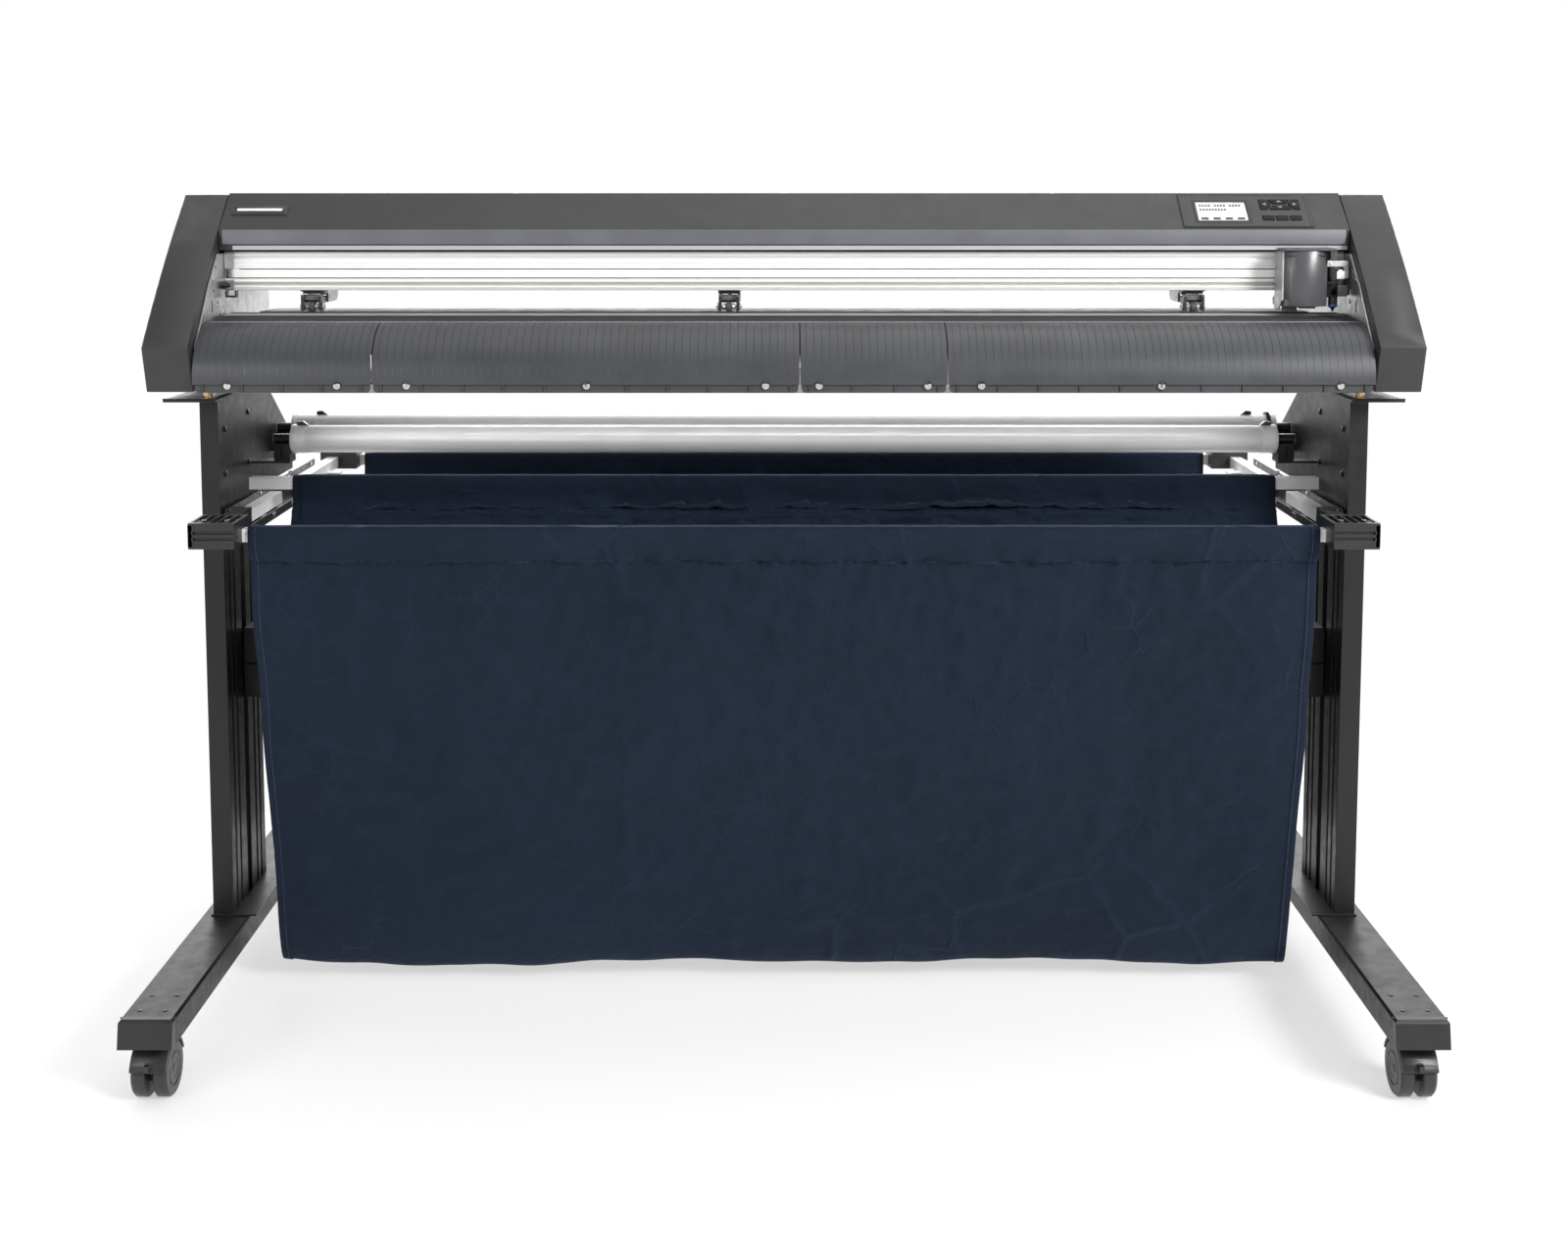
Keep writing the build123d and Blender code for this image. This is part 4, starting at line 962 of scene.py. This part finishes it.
def slope_plate(build, outline, low, high, inset=0.0):
    """A plate on the slope from an (x, down) outline, narrowed towards its top by an inset."""
    mid_x = sum(x for x, _ in outline) / len(outline)
    mid_down = sum(down for _, down in outline) / len(outline)
    rings = []
    for height, shrink in ((low, 0.0), (high, inset)):
        ring = []
        for x, down in outline:
            x += math.copysign(min(shrink, abs(mid_x - x)), mid_x - x)
            down += math.copysign(min(shrink, abs(mid_down - down)), mid_down - down)
            ring.append(slope_place(x, down, height))
        rings.append(ring)
    return build.loft(rings)


def rect(x0, x1, down0, down1):
    return [(x0, down0), (x1, down0), (x1, down1), (x0, down1)]


def frame_bars(build, outer, inner, low, high, inset):
    """A rectangular frame of four bars between an outer and an inner rectangle."""
    (x0, x1, d0, d1), (a0, a1, b0, b1) = outer, inner
    for bar in (rect(x0, x1, d0, b0), rect(x0, x1, b1, d1), rect(x0, a0, b0, b1), rect(a1, x1, b0, b1)):
        slope_plate(build, bar, low, high, inset)
    return build


def build_panel():
    """The raised rim of the control panel, the bevelled screen frame, its segments and the key marks."""
    rim = frame_bars(Build(), (525.7, 697.3, 3.2, 68.8), (530.5, 692.5, 6.5, 66.0), 1.4, 2.3, 0.8)
    frame_bars(rim, (542.5, 617.5, 15.0, 61.0), (547.0, 613.0, 19.4, 56.9), 1.4, 2.7, 1.0)
    rim.piece("panel_rim", "cover_plastic", bevel=0.0003)
    ink = Build()
    for x in (551, 567, 583, 599):
        slope_plate(ink, rect(x, x + 9.5, 50.2, 54.4), 0.8, 1.05)
    for i in range(14):
        if i % 5 != 4:
            slope_plate(ink, rect(551.5 + i * 4, 554 + i * 4, 25.0, 28.4), 0.8, 1.02)
    for i in range(9):
        slope_plate(ink, rect(551.5 + i * 4, 554 + i * 4, 33.0, 36.4), 0.8, 1.02)
    ink.piece("screen_segments", INK_LOOK, bevel=0)
    marks = {
        "key_left": [(635, 25.5), (640.5, 22.5), (640.5, 28.5)],
        "key_right": [(681.5, 25.5), (676, 22.5), (676, 28.5)],
        "key_up": [(658.2, 17.6), (662, 21.6), (654.4, 21.6)],
        "key_down": [(658.2, 33.6), (654.4, 29.6), (662, 29.6)],
    }
    for key, outline in marks.items():
        slope_plate(Build(), outline, 2.4, 2.85).piece(key + "_mark", MARK_LOOK, key, bevel=0)
    badge = slope_plate(Build(), rect(-731, -659, 27, 44), 1.0, 1.7, 1.2)
    badge.piece("badge_plate", "black_plastic", bevel=0.0003)
    bar = slope_plate(Build(), rect(-725, -665, 33, 38), 1.6, 2.1, 0.5)
    bar.piece("badge_bar", WHITE_LOOK, bevel=0.0002)


# ---- carriage and tool ---------------------------------------------------------------------------
def build_carriage():
    """The side plate, top plate, foot and tool parts round the carriage's cover."""
    lo, hi = cad("carriage_cover")
    side = [(-80, 996), (-42, 996), (-42, 919), (-62, 919), (-80, 932)]
    plate = Build().prism("X", side, lo.x - 0.4, lo.x + 1.6)
    plate.piece("carriage_side_plate", "frame_steel", "carriage")
    corner = Build().prism("Z", [(650.4, -59), (657.5, -59), (657.5, -83.2), (650.4, -79)], 924.6, 934)
    corner.piece("carriage_corner", CARRIAGE_LOOK, "carriage", slot="cover_plastic")
    top = Build().box((lo.x + 1, -88, hi.z - 2), (716, -42, hi.z + 0.4))
    top.box((707.5, -88, 984), (716, -80, hi.z)).box((707.5, -88, 984), (709.5, -52, hi.z))
    top.piece("carriage_top_plate", CARRIAGE_LOOK, "carriage", 0.0008, "cover_plastic")
    foot = Build().box((652.5, -78, 917), (668, -60, 924)).box((672, -72, 921), (694, -60, 924.6))
    foot.piece("carriage_foot", "black_plastic", "carriage")
    seam = Build().box((lo.x + 3, -88.6, 990.6), (704, -60, 991.1)).box((706.1, -78, 928), (706.5, -60, 992))
    seam.piece("carriage_seam", LOOKS["bed_plastic"], "carriage", 0)
    bracket = Build().box((709, -68, 975.5), (737, -46, 983.3)).box((731, -68, 960.7), (737, -62, 976))
    bracket.box((709, -50, 946), (712, -40, 976))
    bracket.piece("tool_bracket", "frame_steel", "carriage")
    screws = Build().screws("Y", [(x, -68, 979.4) for x in (713, 734)], 1.5, 1.0, -1)
    screws.piece("tool_bracket_screws", "screw_steel", "carriage", 0)
    build_tool()


def build_tool():
    """The blade holder: white guide block, ridged knob, clamp frame, coloured ring and side knob."""
    x, y = 717.0, -69.0
    guide = Build().box((719.5, y - 8, 960), (730, y + 6, 970)).box((721.5, y - 8.8, 962), (728, y - 7, 968))
    guide.turned("Z", (725, y - 1, 0), [(969, 3.4), (971.4, 3.4), (972, 2.8)], 24)
    guide.piece("tool_guide_block", WHITE_LOOK, "tool", 0.0006)
    knob = Build().turned("Z", (x, y, 0), [(962.0, 5.6), (962.6, 6.9), (973.4, 6.9), (974.6, 5.4)], 36, 0.5)
    knob.piece("tool_knob", "black_plastic", "tool", 0)
    clamp = Build().box((706.5, y - 9, 936.4), (720, y - 6.5, 956.6))
    clamp.box((706.5, y - 9, 953.6), (720, y + 5, 956.6))
    clamp.box((706.5, y - 9, 936.4), (720, y + 5, 939)).box((704.5, y - 8, 944), (707, y + 2, 950))
    clamp.piece("tool_clamp", "key_plastic", "tool")
    body = Build().turned("Z", (x, y, 0), [(921, 2.0), (923.0, 5.6), (936, 5.9), (954, 6.2), (955, 5.6)])
    body.turned("Z", (x, y, 0), [(957, 5.3), (962, 5.3)])
    body.piece("blade_body", "black_plastic", "tool", 0.0002)
    ring = Build().turned("Z", (x, y, 0), [(923.6, 5.9), (924.1, 6.25), (925.8, 6.25), (926.3, 5.9)])
    ring.piece("blade_ring", BLUE_LOOK, "tool", 0)
    block = Build().box((720.5, y - 8.4, 937.4), (733.4, y - 6.8, 951.6))
    for i in range(7):
        block.box((721 + i * 1.8, y - 9.2, 938.4), (721.9 + i * 1.8, y - 8, 950.6))
    block.piece("tool_grip", TRIM_LOOK, "tool", 0.0002)
    washer = Build().turned("X", (0, y + 3, 944), [(732.6, 7.2), (733.8, 7.2)])
    washer.turned("X", (0, y + 3, 944), [(737.4, 3.2), (738.9, 2.8)], 6)
    washer.piece("tool_washer", "screw_steel", "tool", 0.0002)


# ---- pinch rollers -------------------------------------------------------------------------------
def build_pinch_units():
    """The block, spring, fork face, rings, nuts and clips of each pinch unit."""
    wedge = [(-37, 942.7), (-24, 942.7), (-24, 940.3), (-35.5, 941.4), (-37, 941.8)]
    for number in (1, 2, 3):
        slider, arm, spinner = f"pinch_{number}", f"pinch_arm_{number}", f"pinch_roller_{number}"
        x = middle(f"pinch_bracket_{number}").x
        block = Build().prism("X", wedge, x - 14.3, x + 14.3)
        block.box((x - 14.3, -24.1, 937.6), (x + 14.3, -4, 942.6))
        block.piece(f"pinch_block_{number}", "black_plastic", slider)
        spring = Build()
        for start in (22 + i * 2.2 for i in range(7)):
            coil = [(start, 2.0), (start + 0.6, 2.5), (start + 1.2, 2.0)]
            spring.turned("Y", (x, 0, 935.2), coil, 14)
        spring.turned("Y", (x, 0, 935.2), [(20, 1.2), (40, 1.2)], 12)
        spring.piece(f"pinch_spring_{number}", "screw_steel", slider, 0)
        rim = Build()
        for a, b in ((x - 13.5, x - 9.8), (x + 9.8, x + 13.5)):
            rim.box((a, -38.5, 934.6), (b, -37.6, 937.0))
        rim.box((x - 13.2, -31.6, 930), (x + 13.2, -30.9, 936))
        rim.piece(f"pinch_fork_face_{number}", TRIM_LOOK, arm, 0.0002)
        _, y, z = middle(spinner)
        axle = (x, y, z)
        rings = Build().pair(axle, [(4.4, 3.4), (4.8, 5.0), (5.2, 5.0)], 32)
        rings.pair(axle, [(15.2, 3.6), (15.7, 3.6)], 32)
        rings.piece(f"pinch_rings_{number}", "bolt_brass", spinner, 0)
        nuts = Build().pair(axle, [(6.4, 4.6), (9.0, 4.6)], 6)
        nuts.piece(f"pinch_nuts_{number}", "screw_steel", spinner, 0.0002)
        clips = Build().pair(axle, [(5.2, 5.4), (6.4, 5.0)], 32).pair(axle, [(15.0, 1.6), (17.6, 1.4)], 16)
        clips.pair(axle, [(13.7, 4.6), (14.0, 5.6), (14.9, 5.6), (15.2, 4.6)], 32)
        clips.piece(f"pinch_clips_{number}", "screw_steel", spinner, 0)


# ---- media rollers and stand ---------------------------------------------------------------------
ROLLER_Z = 729.0
LEG_INNER = 706.5


def build_roller_parts():
    """Stop collars with wedge-shaped clamps, sleeves on the stubs, end bands and a toothed ring."""
    for name, body, reach in (("front_roll_shaft", "front_media_roller", 672),
                              ("rear_roll_shaft", "rear_media_roller", 675)):
        end = cad(name)[1].x
        axis = (0, middle(name).y, ROLLER_Z)
        collar = [(reach - 7, 19.1), (reach - 7, 19.7), (reach + 7, 19.7), (reach + 7, 19.1)]
        Build().pair(axis, collar, 64).piece(f"{body}_collars", "roller_aluminium", body, 0)
        foot = ROLLER_Z + 19.4
        wedge = [(reach - 9, foot), (reach + 6, foot), (reach + 6, foot + 4.6), (reach - 2, foot + 5.8)]
        clamps = Build().prism("Y", wedge, axis[1] - 4, axis[1] + 4).mirrored()
        clamps.piece(f"{body}_clamps", "wheel_plastic", body)
        sleeve = [(reach + 12, 6.9), (reach + 12, 7.12), (end - 0.4, 7.12), (end - 0.4, 6.9)]
        Build().pair(axis, sleeve).piece(f"{body}_sleeves", "wheel_plastic", body, 0)
        band = [(end - 30, 19.4), (end - 28.8, 20.0), (end - 27.4, 20.0), (end - 26.8, 19.4)]
        Build().pair(axis, band, 48).piece(f"{body}_bands", "rail_aluminium", body, 0)
    axis = (0, middle("rear_roll_shaft").y, ROLLER_Z)
    ring = Build().turned("X", axis, [(701.5, 22.6), (707, 22.6)], 56, 1.8)
    ring.piece("roller_toothed_ring", "wheel_plastic", "rear_media_roller", 0)


def build_stand_details():
    """Screws, seams and base plates of the stand and its feet."""
    foot_top = cad("feet")[1].z - 0.1
    screws = Build()
    screws.screws("Z", [(x, y, foot_top) for y in (-372, -330, 330, 372) for x in (733, 763)], 3.1, 1.0, 1)
    screws.screws("X", [(737.5, y, 634) for y in (-40, 45)], 3.4, 2.2, -1)
    screws.screws("X", [(741, y, z) for y, z in ((-52, 700), (-52, 760), (56, 700), (56, 770))], 4.2, 2.6, -1)
    screws.mirrored().piece("stand_screws", "black_plastic", bevel=0)
    steel = Build()
    for z in (408, 456):
        steel.turned("X", (0, 48, z), [(736, 5.5), (737.4, 5.5)], 6)
    steel.screws("X", [(735.6, y, 650.5) for y in (-55, 90, 240, 370)], 2.6, 1.8, -1)
    steel.mirrored().piece("stand_bright_screws", "screw_steel", bevel=0)
    caps = Build().box((715.5, -389.2, 74.4), (780.2, -388.0, 106.6))
    caps.box((715.5, 388.0, 74.4), (780.2, 389.2, 106.6)).mirrored()
    caps.piece("foot_cap_seams", "wheel_plastic", bevel=0.0002)
    base = Build().box((LEG_INNER, -84, 107), (766.5, 85, 109.4)).mirrored()
    base.piece("leg_base_plates", "stand_paint")


def build_channel_slots():
    """The bright slots in the slide channels' inner lips."""
    slots = Build()
    for y in (-30, 70, 170, 270, 350):
        slots.box((711.4, y - 7.6, 620.9), (712.1, y + 7.6, 626.1))
    slots.mirrored().piece("channel_slot_rims", "screw_steel", bevel=0.0001)


def build_corner_blocks():
    """Ribs, screws and end plates of the four basket corner blocks."""
    for node, body, outer in (("front_corner_blocks", "front_basket", -1),
                              ("rear_corner_blocks", "rear_basket", 1)):
        lo, hi = cad(node)
        face = lo.y if outer < 0 else hi.y
        rib_y = sorted((face, face + outer * 0.4))
        cap_y = sorted((face, face - outer * 34))
        ribs = Build()
        for z in (632.5, 644.0, 655.5):
            ribs.box((690, rib_y[0], z - 1.2), (739.5, rib_y[1], z + 1.2))
        ribs.mirrored().piece(node + "_ribs", "black_plastic", body, 0.0003)
        screws = Build().screws("Z", [(x, face - outer * 20, hi.z - 0.2) for x in (702, 731)], 2.8, 1.4, 1)
        screws.mirrored().piece(node + "_screws", "screw_steel", body, 0)
        caps = Build().box((739.5, cap_y[0], 629), (746.2, cap_y[1], 658.5)).mirrored()
        caps.piece(node + "_ends", "wheel_plastic", body, 0.001)


# ---- casters -------------------------------------------------------------------------------------
def build_casters():
    """The hub discs and axle caps of each caster, its brake pedal's grip and the ring round its swivel."""
    for number in (1, 2, 3, 4):
        spinner, yoke = f"caster_wheels_{number}", f"caster_{number}"
        wheel = middle(spinner)
        outward = math.copysign(1, wheel.y)
        hub = [(20, 18.6), (21.1, 18.0), (21.4, 13), (20.8, 12), (20.8, 6), (21.6, 4.6)]
        Build().pair(wheel, hub, 48).piece(f"caster_hubs_{number}", "wheel_plastic", spinner, 0)
        caps = Build()
        for side in SIDES:
            caps.screws("X", [wheel + Vector((side * 20.6, 0, 0))], 3.4, 0.8, side)
        caps.piece(f"caster_axle_caps_{number}", "screw_steel", spinner, 0)
        pedal = Build()
        for start in (wheel.y + outward * 30 - 3 + i * 2.2 for i in range(4)):
            pedal.box((wheel.x - 3.3, start, 51.6), (wheel.x + 3.3, start + 1, 52.6))
        pedal.piece(f"caster_pedal_grip_{number}", "rubber", yoke, 0.0002)
        race = [(70.2, 13.5), (70.6, 14.2), (72.6, 14.2), (73.3, 13.2)]
        ring = Build().turned("Z", (wheel.x, wheel.y - outward * 18, 0), race)
        ring.piece(f"caster_race_{number}", "screw_steel", yoke, 0)


# ---- side covers and back ------------------------------------------------------------------------
def build_cover_details():
    """Webs, slots and screws of the end covers, slots in the back lip, and the lip of the stand plates."""
    outline = [(-171.4, 826), (-186.6, 880.3), (-111.1, 960), (0.5, 1065), (26, 1065), (-88, 949),
               (-158, 878), (-147, 826)]
    Build().prism("X", outline, 743.5, 744.7).mirrored().piece("cover_webs", "cover_plastic", bevel=0.0003)
    end = cad("right_side_cover")[1]
    slots = Build()
    for z in (858 + i * 5.5 for i in range(9)):
        slots.box((758, end.y - 0.3, z), (786, end.y + 0.25, z + 2.6))
    slots.mirrored().piece("cooling_slots", LOOKS["bed_plastic"], bevel=0)
    places = [(end.x - 0.6, y, z) for y, z in ((140, 852), (120, 1030), (-150, 840))]
    Build().screws("X", places, 3.6, 0.6, 1).mirrored().piece("cover_side_screws", "black_plastic", bevel=0)
    back = cad("top_cover")[1].y
    lip = Build()
    for x in range(-700, 701, 140):
        for z in (948.5, 954.5):
            lip.box((x - 18, back - 0.1, z), (x + 18, back + 0.3, z + 2.5))
    lip.piece("back_lip_slots", LOOKS["bed_plastic"], bevel=0)
    ledge = Build().box((731, -121, 806.2), (799, -118, 808)).mirrored()
    ledge.piece("stand_plate_lip", "stand_paint", bevel=0.0003)
    washers = Build().turned("Z", (744, -111, 0), [(806.2, 7.6), (807.4, 7.6)], 28).mirrored()
    washers.piece("stand_bolt_washers", "screw_steel", bevel=0.0002)


dress_frame()
build_apron()
build_bed()
build_fascia()
build_rail()
build_side_frame_details()
build_panel()
build_carriage()
build_pinch_units()
build_roller_parts()
build_stand_details()
build_channel_slots()
build_corner_blocks()
build_casters()
build_cover_details()
build_basket()
add_camera()
add_studio()
